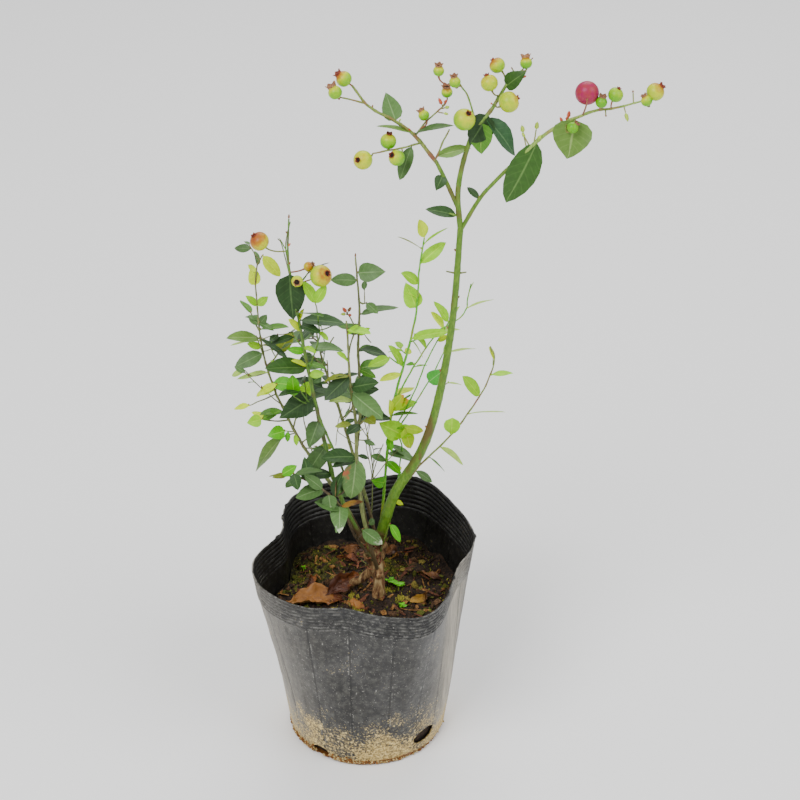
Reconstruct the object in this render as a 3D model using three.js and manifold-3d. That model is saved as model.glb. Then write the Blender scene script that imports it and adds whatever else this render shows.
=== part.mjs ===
// A young blueberry bush with its first fruit, in a soft black nursery pot.
// Millimetres, +Z up. The origin is the centre of the pot's flat underside.
import * as THREE from "three";
import { mergeVertices } from "three/addons/utils/BufferGeometryUtils.js";
import Module from "manifold-3d";

const wasm = await Module();
wasm.setup();

const clearance = 0.35; // between two pieces that meet

// The pot: a thin-walled film pot, filled and handled until its rim has gone out of round.
const pot = {
  height: 145,
  rimRadius: 74.5,
  baseRadius: 54,
  wall: 1,
  floor: 1.2,
  corner: 2, // the wall turns in this much where it meets the floor
  rimRise: 4, // the rim stands this much higher at the back, and lower at the front
  foldFrom: 30, // the wall is round up to this height
  segments: 48,
};
const wallRows = [0, 3, 30, 62, 85, 104, 125, 145];

// Folds of the rim: direction in degrees from +X, how far out it stands, and its spread in degrees.
const rimFolds = [
  { at: 68, out: 12, spread: 14 },
  { at: 93, out: -5, spread: 7 },
  { at: 122, out: 3, spread: 12 },
  { at: 166, out: -16, spread: 15 },
  { at: 212, out: 7, spread: 20 },
  { at: 259, out: -7, spread: 9 },
  { at: 298, out: 10, spread: 12 },
  { at: 338, out: -8.5, spread: 13 },
];
const drainHoles = [
  { at: -44, height: 12 },
  { at: -125, height: 4 },
  { at: 145, height: 6 },
  { at: 52, height: 9 },
];
const drainHole = { radius: 4.5, length: 16, sides: 10 };

const soil = {
  height: 104,
  bump: 2.4, // how far the litter and moss stand up and down
  calmRadius: 22, // level round the foot of the plant
  fromWall: 1.2, // the mix has shrunk this far from the wall
  rings: [0.8, 0.55, 0.29], // rings of its top, as shares of its radius there
  waves: { x: 9, y: 8, diagonal: 5 }, // how long the bumps are, each way
};

// The woody foot: one upright leg with a root flare, and an old root that arches into it.
const foot = {
  upright: { points: [[8, -6, 104], [8, -5, 122], [7.5, -1, 138], [9, 0, 151.5]], radius: [4.6, 4.2] },
  arch: { points: [[-16, 3, 103], [-10, 2, 112], [-2, -1, 119], [7, -3, 129]], radius: [2.6, 3.4] },
  sides: 7,
  steps: 7,
  flare: 3.4, // added to the upright leg's radius where it leaves the soil
  flareShare: 0.16,
  knot: { centre: [6.5, -0.5, 141], radius: 5.4 },
};

// Limbs: what each one springs from, the points that it runs through after its root,
// and its radius at the root and at the tip.
const limbs = {
  main_cane: {
    from: "trunk_foot",
    points: [[9, 0, 148], [19, 0, 184.5], [37.5, 0, 220.5], [48, 0, 260], [56, 0, 316], [60, 0, 380]],
    radius: [3.9, 1.85],
    sides: 8,
  },
  bough_middle: {
    from: "main_cane",
    points: [[60, 0, 376], [58, 0, 398], [59, 0, 412], [62, -1, 427], [67, -2, 444]],
    radius: [1.6, 1.25],
  },
  bough_left: {
    from: "bough_middle",
    points: [[58.5, 0, 391], [50, -1, 411], [45, -2, 422]],
    radius: [1.2, 1],
  },
  bough_right: {
    from: "main_cane",
    clearOf: ["bough_middle"],
    points: [[59.5, 0, 376], [71, 1, 397], [81, 2, 409], [95, 3, 424]],
    radius: [1.35, 1.05],
  },
  cane_left: {
    from: "trunk_foot",
    points: [[4, -0.5, 133], [-3, -2, 152], [-12, -4, 174], [-21, -6, 203]],
    radius: [2.2, 1.9],
  },
  cane_outer: {
    from: "trunk_foot",
    points: [[6.5, 2.5, 126], [-4, 7.5, 150], [-18, 11, 178], [-33, 14, 200]],
    radius: [1.6, 1.3],
  },
  cane_front: {
    from: "trunk_foot",
    points: [[8, -5, 128], [4, -13, 150], [-2, -16, 184], [-5, -18, 222]],
    radius: [1.4, 1.2],
  },
  cane_inner: {
    from: "trunk_foot",
    points: [[6.5, 2, 137], [1, 9, 152], [-4, 15, 180], [-6, 20, 207]],
    radius: [1.4, 1.2],
  },
  cane_centre: {
    from: "trunk_foot",
    points: [[8.5, 2, 139], [10, 8, 156], [12, 11, 176], [14, 14, 203]],
    radius: [1.3, 1.2],
  },
  cane_right: {
    from: "trunk_foot",
    points: [[10, 0, 131], [15, 10, 154], [22, 17, 174], [36, 22, 194]],
    radius: [1.3, 1.1],
  },
  cane_back: {
    from: "trunk_foot",
    points: [[8.5, 1, 128], [4, 16, 154], [-5, 31, 182], [-12, 40, 205]],
    radius: [1.3, 1.1],
  },
};
const limbSides = 5;
const limbSteps = 2; // rings between one point of a limb and the next

// Masses: the limb that carries each one, the points of its stem after that limb's tip,
// and how far from the stem its space reaches.
//   leaves and fruit name single ones. A leaf is [along the stem from 0 to 1, turn from +X,
//   rise above level, length, width, roll about its own rib], where width and roll may be left out,
//   and a fruit is [along, turn, rise, stalk, diameter], all angles in degrees.
//   sprigs are side twigs, each with its own path, leaves and fruit.
//   rule grows the rest: side twigs that turn round the stem by the golden angle.
//   A stem that is fromSide starts inside its limb and not at the limb's tip.
const masses = {
  spray_left: {
    from: "bough_left",
    points: [[31, -4, 441], [20, -6, 450], [5, -8, 460], [-5, -8, 473]],
    radius: [0.95, 0.55],
    reach: 46,
    leaves: [
      [0.49, 146, 67, 18, 12, -45],
      [0.26, -149, 28, 26, 9, -10],
      [0.25, -15, 26, 26, 8, 10],
    ],
    fruit: [[1, 180, 41, 6, 9.6]],
    sprigs: [
      {
        points: [[35, -3, 435], [24, -8, 434], [7, -14, 433]],
        leaves: [[0.24, -139, -63, 22, 9, -30]],
        fruit: [[0.64, 155, 49, 6, 10], [1, -161, -28, 7, 11.8], [0.5, -110, -19, 9, 10]],
      },
      {
        points: [[32, -4, 440], [39, 0, 448], [49, 4, 456]],
        fruit: [[0.23, 10, 76, 8.6, 6.8], [1, 66, 58, 8, 7]],
      },
      { points: [[3, -8, 462], [-12, -14, 468]], fruit: [[1, -137, 48, 5, 8.4]] },
      {
        points: [[44, -2, 424], [48, -6, 436], [52, -9, 446]],
        leaves: [[0.14, -27, 12, 20, 6, 20]],
      },
    ],
  },
  spray_middle: {
    from: "bough_middle",
    points: [[77, 0, 455], [85, 3, 468], [94, 5, 477]],
    radius: [1.1, 0.6],
    reach: 44,
    leaves: [
      [0.18, -80, -51, 21, 15.5, 5],
      [0.24, 15, -56, 30, 12, 60],
      [0.66, -44, 39, 16.5, 8, 60],
    ],
    fruit: [
      [0.02, -132, 37, 13, 13.5],
      [0.54, -145, 48, 12.5, 10.5],
      [0.69, 154, 61, 13, 9.7],
      [0.45, -46, 14, 10, 12.9],
      [1, 0, 61, 5.6, 7.4],
    ],
    sprigs: [
      {
        points: [[68, -2, 446], [63, -4, 464], [58, -6, 473]],
        fruit: [[1, -136, 29, 5, 7], [0.92, 173, 33, 16, 6.7]],
      },
    ],
  },
  spray_right: {
    from: "bough_right",
    points: [[112, 3, 440], [134, 0, 453], [149, -3, 457], [164, -5, 462]],
    radius: [1, 0.6],
    reach: 46,
    leaves: [
      [0.13, -144, -62, 41, 18, -40],
      [0.28, -50, -30, 22, 20, 30],
      [0.16, -95, 80, 17, 6, 0],
      [0.22, -54, 68, 16, 6, 0],
    ],
    fruit: [
      [0.36, -63, -9, 7, 7.1],
      [0.46, -56, 78, 15, 14.6],
      [0.6, -86, 55, 8, 7.2],
      [0.72, -53, 73, 10, 9.3],
      [1, -47, 20, 4.6, 7],
      [1, 0, 36, 10, 11],
    ],
  },
  leaf_fork: {
    from: "bough_middle",
    fromSide: true,
    points: [[58.5, 0, 386], [56, -1, 387.5], [53, -2, 389]],
    radius: [0.7, 0.6],
    reach: 30,
    leaves: [[0.7, -163, 14, 19, 10, -25]],
  },
  leaves_foot: {
    from: "trunk_foot",
    fromSide: true,
    points: [[9, -4, 126], [13, -9, 133], [16, -12, 140]],
    radius: [0.8, 0.6],
    reach: 30,
    leaves: [[1, -20, -10, 12, 6], [0.6, -120, 5, 17, 9]],
  },
  foliage_left: {
    from: "cane_left",
    points: [[-28, -8, 243], [-35, -10, 286], [-40, -12, 325], [-45, -12, 361], [-44, -10, 389]],
    radius: [1.9, 0.5],
    reach: 40,
    leaves: [
      [0.58, 150, 74, 29, 18, -45],
      [0.7, 179, 53, 27, 9, -30],
      [0.58, -8, 5, 29, 12, 10],
      [0.4, -167, 11, 27, 14, -30],
      [0.3, -149, -15, 26, 14, -45],
      [0.22, -119, -45, 19, 12, -20],
      [0.56, -45, 10, 17],
      [0.47, 10, 0, 25],
      [0.47, 135, -15, 15],
      [0.04, -160, 20, 27, 13, -25],
      [0.01, -140, 25, 22, 11, -25],
      [0.16, 35, -5, 22],
      [0.32, 25, -15, 21],
    ],
    fruit: [
      [0.85, -166, 24, 19, 11.5],
      [0.74, -60, 8, 9, 7.4],
      [0.76, 11, 13, 12, 6.4],
      [0.71, -11, 24, 20, 14],
    ],
    rule: { seed: 11, twigs: 6, twigLength: 18, leafLength: 18, first: 60, lowest: 0.1, highest: 0.75 },
  },
  foliage_outer: {
    from: "cane_outer",
    points: [[-45, 14, 223], [-58, 12, 258], [-65, 8, 293], [-67, 4, 337]],
    radius: [1.3, 0.5],
    reach: 34,
    leaves: [
      [1, 132, 77, 13, 8, -30],
      [0.94, -159, 12, 12, 8, -45],
      [0.27, -148, -28, 36, 11, -20],
      [0.86, 130, -5, 15],
      [0.82, -15, 20, 20],
      [0.78, -165, 15, 22, 9, -20],
      [0.71, -155, -15, 20, 10, -45],
      [0.6, 165, -15, 24, 7],
      [0.54, -20, 5, 17, 10, 45],
      [0.5, -140, 10, 15],
      [0.46, 170, -20, 27, 7],
      [0.38, -145, 20, 19],
      [0.33, 175, -5, 26, 13, -40],
      [0.28, -145, 5, 20, 12, -40],
    ],
    rule: { seed: 23, twigs: 4, twigLength: 18, leafLength: 16, first: 60, lowest: 0.2, highest: 0.9 },
  },
  foliage_front: {
    from: "cane_front",
    points: [[-5, -20, 251], [-8, -22, 281], [-9, -22, 306], [-10, -20, 325]],
    radius: [1.2, 0.5],
    reach: 34,
    leaves: [
      [0.56, -143, -27, 22, 11, -35],
      [0.45, -22, -36, 26, 13, 40],
      [0.05, -107, -62, 26, 15, -10],
      [0.92, -30, 10, 17],
      [0.77, -150, 40, 18],
      [0.56, -160, 0, 17],
      [0.48, -25, 25, 20, 11, 40],
      [0.4, -145, 20, 18],
      [0.24, -150, 20, 16],
      [0.03, -160, 15, 24, 12, -30],
    ],
    rule: { seed: 5, twigs: 3, twigLength: 14, leafLength: 16, first: 300, lowest: 0.1, highest: 0.95 },
  },
  foliage_inner: {
    from: "cane_inner",
    points: [[-3, 22, 241], [-4, 24, 281], [-3, 24, 313], [-5, 22, 348]],
    radius: [1.2, 0.5],
    reach: 34,
    leaves: [
      [0.91, 3, 12, 20, 11, 30],
      [0.88, -162, 15, 17.5, 9, -50],
      [0.7, -10, 21, 26, 10, 10],
      [0.61, 145, 0, 17],
      [0.5, -15, 0, 20],
      [0.41, 25, 5, 20, 11, 20],
      [0.28, 140, -5, 18],
      [0.17, 35, 0, 17],
    ],
    rule: { seed: 37, twigs: 5, twigLength: 18, leafLength: 18, first: 100, lowest: 0.05, highest: 0.85 },
  },
  foliage_back: {
    from: "cane_back",
    points: [[-20, 46, 232], [-28, 48, 258], [-32, 47, 282]],
    radius: [1.1, 0.5],
    reach: 32,
    rule: { seed: 71, twigs: 7, twigLength: 18, leafLength: 18, first: 60, lowest: 0.1, highest: 0.95 },
  },
  foliage_low: {
    from: "trunk_foot",
    fromSide: true,
    points: [
      [5, -5, 136], [-6, -11, 158], [-15, -19, 187], [-27, -23, 204], [-41, -25, 214], [-53, -26, 217],
    ],
    radius: [1.3, 0.6],
    reach: 30,
    leaves: [
      [0.42, -91, -28, 19, 12, 0],
      [0.34, -130, -25, 13],
      [0.4, -155, 30, 20, 11, -30],
      [0.49, 40, 75, 20],
      [0.6, -150, 5, 19, 11, -30],
      [0.72, 110, 65, 16, 10, 0],
      [0.81, -125, 5, 14],
      [0.98, 155, -10, 11],
    ],
    rule: { seed: 43, twigs: 3, twigLength: 12, leafLength: 17, first: 20, lowest: 0.4, highest: 0.98 },
  },
  shoot_centre: {
    from: "cane_centre",
    points: [[18, 16, 242], [26, 16, 276], [33, 14, 311], [35, 12, 343], [38, 10, 367]],
    radius: [1.2, 0.5],
    reach: 46,
    leaves: [
      [1, 180, 80, 12.5, 7.5, -60],
      [0.84, 16, 42, 21, 9, 30],
      [0.92, -169, 40, 18, 6, -20],
      [0.74, -164, 45, 14, 8, -40],
      [0.63, 160, 69, 18, 12, -60],
      [0.5, -13, 25, 25, 9, 20],
      [0.38, -157, 63, 20, 8, -40],
      [0.18, -92, -52, 22, 15, 0],
      [0.2, -32, 42, 15, 9, 60],
      [0.1, -15, 20, 20, 11, 30],
      [0.03, -25, 0, 20],
      [0, -40, -20, 14],
      [0.24, 150, 0, 17],
      [0.48, -30, -20, 13],
    ],
    sprigs: [
      {
        points: [[21, 16, 250], [33, 18, 274], [47, 20, 296]],
        leaves: [[0.75, -160, 60, 14, 7, -40], [0.55, 170, 75, 10, 5, 0], [1, 10, 10, 15, 5, 0]],
      },
      {
        points: [[46, 20, 294], [62, 22, 312], [82, 24, 322]],
        leaves: [[0.45, 40, 60, 18, 6, 0], [1, 5, 10, 12, 5, 0]],
      },
    ],
    rule: { seed: 59, twigs: 2, twigLength: 12, leafLength: 14, first: 70, lowest: 0.05, highest: 0.5 },
  },
  shoot_right: {
    from: "cane_right",
    points: [[56, 28, 213], [69, 32, 230], [80, 35, 249], [85, 36, 267], [82, 34, 278]],
    radius: [1.1, 0.45],
    reach: 34,
    leaves: [
      [0.51, -160, 59, 20, 9, -60],
      [0.67, -6, 15, 15, 6, 0],
      [0.39, -18, 19, 26, 7, 20],
      [0.32, -148, -17, 13, 9, -45],
      [0.85, 60, 40, 12, 6, 0],
      [0.15, -40, 10, 18, 6, 0],
      [0.55, 80, 20, 16, 8, 0],
      [0.25, 100, 25, 18, 9, 0],
      [0.02, -40, -35, 16],
      [0.13, -20, -25, 20, 7],
    ],
  },
};

const twig = { radius: 0.62, tipRadius: 0.45, sides: 3, steps: 2, sag: 0.08 };

// The rule that grows side twigs: each range is a low and a high end.
const growth = {
  golden: 137.5, // turn from one twig to the next
  turn: [-20, 20],
  rise: [15, 55],
  shrink: [1.15, 0.6], // twig length at the foot and at the tip of the stem
  length: [0.8, 1.2],
  leafShares: [0.45, 0.75, 1], // where a twig's leaves stand
  leafSides: [-62, 62, 0], // and how far each one turns from the twig
  leafTurn: [-15, 15],
  leafRise: [-30, 15],
  leafRiseShare: 0.6, // share of the twig's own rise that its leaves keep
  leafLength: [0.75, 1.25],
  leafRoll: [-35, 35],
  leafWidth: [0.42, 0.55],
  overRim: 8, // growth keeps this far over the rim and over the mix
  fromWall: 20, // and this far from the wall, where it is below the rim
};
const leafShape = {
  stations: [0, 0.36, 0.72], // along the leaf, and its half-width there as a share of the widest
  widths: [0, 1, 0.8],
  slim: 0.48, // width as a share of the length, where none is given
  stalkRadius: 0.5,
  thickness: 0.6,
  fold: 0.22, // how far the two halves of the blade rise from the rib
  droop: 0.12, // how far the tip bends back, as a share of the length
};
const fruitShape = {
  stalkRadius: 0.55,
  stalkEnd: -0.96,
  // Radius and place along the axis in berry radii, from the stalk's end round to the dip of the calyx.
  profile: [[0.8, -0.56], [0.97, 0.24], [0.42, 0.9], [0.6, 1.2], [0, 0.96]],
  sides: 7,
  small: 9, // a berry under this diameter has fewer sides
  sidesSmall: 5,
};

// Room that is kept, as balls along the limbs, stems and twigs and over the leaves.
const room = {
  leaf: 1.3, // round a point of a leaf
  twig: 0.9, // round a twig, beyond its radius
  root: 0.3, // the first share of a leaf or twig lies against what carries it
  limbBalls: 12, // between two points of a limb
  twigBalls: 12,
  stemBalls: 60,
  stemPoints: 24, // places along a stem that its reach is measured from
  leafStations: [0.3, 0.42, 0.54, 0.66, 0.78, 0.9, 1],
  leafAcross: [-1, -0.5, 0, 0.5, 1],
  leafTip: 1.02, // the blade narrows to nothing just past its tip
  leafTipSlope: 3,
};

const looks = {
  film: { color: 0x2f3034, roughness: 0.5 },
  soil: { color: 0x22170f, roughness: 0.95 },
  bark: { color: 0x6d5236, roughness: 0.85 },
  greenBark: { color: 0x76963e, roughness: 0.6 },
  leaf: { color: 0x5a8a45, roughness: 0.55 },
  young: { color: 0x9ccc34, roughness: 0.55 },
};

const up = new THREE.Vector3(0, 0, 1);
const radians = THREE.MathUtils.degToRad;
const lerp = THREE.MathUtils.lerp;

// A repeatable source of numbers from 0 to 1.
function randomFrom(seed) {
  const spread = 7919;
  const multiplier = 1664525;
  const increment = 1013904223;
  const span = 4294967296;
  let state = seed * spread;
  return () => {
    state = (Math.imul(state, multiplier) + increment) >>> 0;
    return state / span;
  };
}

function solidFrom(geometry, tolerance = 1e-4) {
  const bare = new THREE.BufferGeometry();
  bare.setAttribute("position", geometry.getAttribute("position"));
  bare.setIndex(geometry.getIndex());
  const merged = mergeVertices(bare, tolerance);
  const vertProperties = merged.getAttribute("position").array;
  const triVerts = new Uint32Array(merged.getIndex().array);
  return new wasm.Manifold(new wasm.Mesh({ numProp: 3, vertProperties, triVerts }));
}

function geometryFrom(solid) {
  const mesh = solid.getMesh();
  const geometry = new THREE.BufferGeometry();
  geometry.setAttribute("position", new THREE.BufferAttribute(mesh.vertProperties, 3));
  geometry.setIndex(new THREE.BufferAttribute(mesh.triVerts, 1));
  return geometry;
}

// Fusing can leave a loose scrap or a sealed hollow: corners that all but touch are made one,
// and only the main body is kept, until nothing else is left.
function mainBody(solid) {
  const touching = 1e-3;
  let bodies = [solid];
  do {
    const best = bodies.reduce((most, body) => (body.volume() > most.volume() ? body : most));
    bodies = solidFrom(geometryFrom(best), touching).decompose();
  } while (bodies.length > 1);
  return bodies[0];
}

function curveThrough(points) {
  const places = points.map((point) => (point.isVector3 ? point : new THREE.Vector3(...point)));
  return new THREE.CatmullRomCurve3(places, false, "catmullrom", 0.5);
}

function direction(turn, rise) {
  const level = Math.cos(radians(rise));
  return new THREE.Vector3(
    level * Math.cos(radians(turn)),
    level * Math.sin(radians(turn)),
    Math.sin(radians(rise)),
  );
}

// A closed skin over rings of the same number of points, with flat or pointed ends.
function skin(rings, tip) {
  const sides = rings[0].length;
  const positions = rings.flat().flatMap((point) => [point.x, point.y, point.z]);
  const index = [];
  for (let ring = 0; ring + 1 < rings.length; ring++) {
    for (let side = 0; side < sides; side++) {
      const a = ring * sides + side;
      const b = ring * sides + ((side + 1) % sides);
      index.push(a, b, b + sides, a, b + sides, a + sides);
    }
  }
  const last = (rings.length - 1) * sides;
  for (let side = 1; side + 1 < sides; side++) {
    index.push(0, side + 1, side);
    if (!tip) index.push(last, last + side, last + side + 1);
  }
  if (tip) {
    positions.push(tip.x, tip.y, tip.z);
    for (let side = 0; side < sides; side++) {
      index.push(last + side, last + ((side + 1) % sides), last + sides);
    }
  }
  const geometry = new THREE.BufferGeometry();
  geometry.setAttribute("position", new THREE.Float32BufferAttribute(positions, 3));
  geometry.setIndex(index);
  return geometry;
}

// A round limb along a curve, whose radius is a function of the share of its length.
function limbGeometry(curve, radiusAt, sides, steps, extra = 0) {
  const chord = curve.getPoint(1).sub(curve.getPoint(0));
  const axes = [new THREE.Vector3(1, 0, 0), new THREE.Vector3(0, 1, 0), up];
  const across = axes.reduce((best, axis) =>
    Math.abs(axis.dot(chord)) < Math.abs(best.dot(chord)) ? axis : best,
  );
  const rings = [];
  for (let step = 0; step <= steps; step++) {
    const share = step / steps;
    const tangent = curve.getTangent(share);
    const side = new THREE.Vector3().crossVectors(across, tangent).normalize();
    const other = new THREE.Vector3().crossVectors(tangent, side);
    const centre = curve.getPoint(share);
    if (step === 0) centre.addScaledVector(tangent, -extra);
    if (step === steps) centre.addScaledVector(tangent, extra);
    const ring = [];
    for (let corner = 0; corner < sides; corner++) {
      const angle = (2 * Math.PI * corner) / sides;
      const radius = radiusAt(share) + extra;
      ring.push(
        centre
          .clone()
          .addScaledVector(side, radius * Math.cos(angle))
          .addScaledVector(other, radius * Math.sin(angle)),
      );
    }
    rings.push(ring);
  }
  return skin(rings);
}

function leafFrame(leaf) {
  const along = direction(leaf.turn, leaf.rise);
  const face = up.clone().addScaledVector(along, -up.dot(along)).normalize();
  face.applyAxisAngle(along, radians(leaf.roll));
  const side = new THREE.Vector3().crossVectors(along, face);
  return { along, face, side };
}

function leafPoint(leaf, frame, station, across, halfWidth) {
  const fold = Math.abs(across) * halfWidth * leafShape.fold;
  return leaf.root
    .clone()
    .addScaledVector(frame.along, leaf.length * station)
    .addScaledVector(frame.face, fold - leaf.length * leafShape.droop * station * station)
    .addScaledVector(frame.side, across * halfWidth);
}

function leafGeometry(leaf) {
  const frame = leafFrame(leaf);
  const rings = leafShape.stations.map((station, i) => {
    const halfWidth = i === 0 ? leafShape.stalkRadius : (leafShape.widths[i] * leaf.width) / 2;
    const thick = i === 0 ? leafShape.stalkRadius : leafShape.thickness / 2;
    return [
      leafPoint(leaf, frame, station, 1, halfWidth),
      leafPoint(leaf, frame, station, 0, 0).addScaledVector(frame.face, -thick),
      leafPoint(leaf, frame, station, -1, halfWidth),
      leafPoint(leaf, frame, station, 0, 0).addScaledVector(frame.face, thick),
    ];
  });
  return skin(rings, leafPoint(leaf, frame, 1, 0, 0));
}

// A berry, its stalk and the cup of its calyx, turned about one axis.
function fruitGeometry(fruit) {
  const radius = fruit.diameter / 2;
  const profile = [
    new THREE.Vector2(0, 0),
    new THREE.Vector2(fruitShape.stalkRadius, 0),
    new THREE.Vector2(fruitShape.stalkRadius, fruit.stalk + fruitShape.stalkEnd * radius),
    ...fruitShape.profile.map(
      ([out, along]) => new THREE.Vector2(out * radius, fruit.stalk + along * radius),
    ),
  ];
  const sides = fruit.diameter < fruitShape.small ? fruitShape.sidesSmall : fruitShape.sides;
  const turned = new THREE.Quaternion().setFromUnitVectors(
    new THREE.Vector3(0, 1, 0),
    direction(fruit.turn, fruit.rise),
  );
  return new THREE.LatheGeometry(profile, sides)
    .applyQuaternion(turned)
    .translate(fruit.root.x, fruit.root.y, fruit.root.z);
}

// The balls of every limb, twig, leaf and fruit so far.
const taken = [];

function ballsAlong(curve, radiusAt, owner, count) {
  const balls = [];
  for (let i = 0; i <= count; i++) {
    const share = i / count;
    balls.push({ centre: curve.getPoint(share), radius: radiusAt(share) + room.twig, owner });
  }
  return balls;
}

function leafBalls(leaf, owner) {
  const frame = leafFrame(leaf);
  const balls = [];
  for (const station of room.leafStations) {
    const share = Math.min(1, room.leafTipSlope * (room.leafTip - station));
    const halfWidth = (leaf.width / 2) * share;
    for (const across of room.leafAcross) {
      const centre = leafPoint(leaf, frame, station, across, halfWidth);
      balls.push({ centre, radius: room.leaf, owner });
    }
  }
  return balls;
}

function hasRoom(balls, carriers) {
  return balls.every((ball) =>
    taken.every(
      (other) =>
        carriers.includes(other.owner) ||
        ball.centre.distanceTo(other.centre) > ball.radius + other.radius,
    ),
  );
}

function clearOfPot(point) {
  if (point.z > pot.height + growth.overRim) return true;
  const within = Math.hypot(point.x, point.y) < pot.rimRadius - growth.fromWall;
  return within && point.z > soil.height + growth.overRim;
}

function inSpace(balls, stemPoints, reach) {
  return balls.every(
    ({ centre }) =>
      clearOfPot(centre) && stemPoints.some((point) => point.distanceTo(centre) < reach),
  );
}

function wallRadiusAt(height) {
  return lerp(pot.baseRadius, pot.rimRadius, height / pot.height);
}

// How far the folds move the wall out in a direction, at a height.
function foldAt(angle, height) {
  const degrees = THREE.MathUtils.radToDeg(angle);
  const rise = THREE.MathUtils.smoothstep(height, pot.foldFrom, pot.height);
  let out = 0;
  for (const fold of rimFolds) {
    const turned = THREE.MathUtils.euclideanModulo(degrees - fold.at + 180, 360) - 180;
    out += fold.out * Math.exp(-0.5 * (turned / fold.spread) ** 2);
  }
  return out * rise;
}

// Turns a lathed shape upright and gives it the pot's folds.
function folded(profile) {
  const geometry = new THREE.LatheGeometry(profile, pot.segments);
  geometry.rotateX(Math.PI / 2);
  const places = geometry.getAttribute("position");
  for (let i = 0; i < places.count; i++) {
    const x = places.getX(i);
    const y = places.getY(i);
    const z = places.getZ(i);
    const radius = Math.hypot(x, y);
    if (radius < 1) continue;
    const angle = Math.atan2(y, x);
    const share = Math.min(1, radius / (wallRadiusAt(z) - pot.wall));
    const scale = (radius + foldAt(angle, z) * share) / radius;
    const lift = pot.rimRise * Math.sin(angle) * THREE.MathUtils.smoothstep(z, soil.height, pot.height);
    places.setXYZ(i, x * scale, y * scale, z + lift);
  }
  return geometry;
}

function potSolid() {
  const rows = wallRows.slice(1);
  const outer = rows.map((z) => new THREE.Vector2(wallRadiusAt(z), z));
  const inner = rows.reverse().map((z) => new THREE.Vector2(wallRadiusAt(z) - pot.wall, z));
  const profile = [
    new THREE.Vector2(0, 0),
    new THREE.Vector2(pot.baseRadius - pot.corner, 0),
    ...outer,
    ...inner,
    new THREE.Vector2(pot.baseRadius - pot.corner - pot.wall, pot.floor),
    new THREE.Vector2(0, pot.floor),
  ];
  let solid = solidFrom(folded(profile));
  for (const hole of drainHoles) {
    const punch = new THREE.CylinderGeometry(
      drainHole.radius,
      drainHole.radius,
      drainHole.length,
      drainHole.sides,
    );
    punch.rotateZ(Math.PI / 2);
    punch.translate(wallRadiusAt(hole.height), 0, hole.height);
    punch.rotateZ(radians(hole.at));
    solid = solid.subtract(solidFrom(punch));
  }
  return mainBody(solid);
}

function soilSolid() {
  const inset = pot.wall + soil.fromWall;
  const bottom = pot.floor + clearance;
  const sides = wallRows.filter((z) => z > bottom && z <= soil.height);
  const topRadius = wallRadiusAt(soil.height) - inset;
  const profile = [
    new THREE.Vector2(0, bottom),
    new THREE.Vector2(wallRadiusAt(bottom) - inset - pot.corner, bottom),
    ...sides.map((z) => new THREE.Vector2(wallRadiusAt(z) - inset, z)),
    ...soil.rings.map((share) => new THREE.Vector2(topRadius * share, soil.height)),
    new THREE.Vector2(0, soil.height),
  ];
  const geometry = folded(profile);
  const places = geometry.getAttribute("position");
  const edge = profile.length - soil.rings.length - 2; // the profile's last point beside the wall
  for (let i = 0; i < places.count; i++) {
    if (i % profile.length <= edge) continue;
    const x = places.getX(i);
    const y = places.getY(i);
    const calm = THREE.MathUtils.smoothstep(Math.hypot(x, y), soil.calmRadius, soil.calmRadius * 2);
    const broad = Math.sin(x / soil.waves.x + 1) * Math.cos(y / soil.waves.y);
    const uneven = broad + Math.sin((x - y) / soil.waves.diagonal) / 2;
    places.setZ(i, soil.height + soil.bump * calm * uneven);
  }
  return solidFrom(geometry);
}

function footSolid(extra = 0) {
  const legs = ["upright", "arch"].map((name) => {
    const leg = foot[name];
    const curve = curveThrough(leg.points);
    const radiusAt = (share) => {
      const flare = name === "upright" ? foot.flare * Math.exp(-share / foot.flareShare) : 0;
      return lerp(leg.radius[0], leg.radius[1], share) + flare;
    };
    return solidFrom(limbGeometry(curve, radiusAt, foot.sides, foot.steps, extra));
  });
  const knot = new THREE.IcosahedronGeometry(foot.knot.radius + extra, 1);
  knot.translate(...foot.knot.centre);
  const depth = 20;
  const ground = new THREE.BoxGeometry(pot.rimRadius, pot.rimRadius, depth);
  ground.translate(0, 0, soil.height + clearance - depth / 2);
  return mainBody(legs[0].add(legs[1]).add(solidFrom(knot)).subtract(solidFrom(ground)));
}

function limbSolid(name, extra = 0) {
  if (name === "trunk_foot") return footSolid(extra);
  const limb = limbs[name];
  const radiusAt = (share) => lerp(limb.radius[0], limb.radius[1], share);
  const steps = (limb.points.length - 1) * limbSteps;
  let solid = solidFrom(
    limbGeometry(curveThrough(limb.points), radiusAt, limb.sides ?? limbSides, steps, extra),
  );
  if (extra) return solid;
  for (const other of [limb.from, ...(limb.clearOf ?? [])]) {
    solid = solid.subtract(limbSolid(other, clearance));
  }
  return mainBody(solid);
}

function limbBalls(name) {
  const limb = limbs[name];
  const radiusAt = (share) => lerp(limb.radius[0], limb.radius[1], share);
  const count = limb.points.length * room.limbBalls;
  taken.push(...ballsAlong(curveThrough(limb.points), radiusAt, name, count));
}

// A mass's stem starts at its limb's tip, unless it is fromSide, and is then cut clear of the limb.
function stemStart(mass) {
  return mass.fromSide ? [] : [limbs[mass.from].points.at(-1)];
}

function twigPoints(root, turn, rise, length) {
  const tip = root.clone().addScaledVector(direction(turn, rise), length);
  const middle = root.clone().lerp(tip, 0.5);
  middle.z -= length * twig.sag;
  return [root, middle, tip];
}

function twigRadius(share) {
  return lerp(twig.radius, twig.tipRadius, share);
}

function addTwig(pieces, curve, owner) {
  pieces.push(solidFrom(limbGeometry(curve, twigRadius, twig.sides, twig.steps)));
  taken.push(...ballsAlong(curve, twigRadius, owner, room.twigBalls));
}

function addLeaf(pieces, leaf, owner) {
  pieces.push(solidFrom(leafGeometry(leaf)));
  taken.push(...leafBalls(leaf, owner));
}

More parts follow.
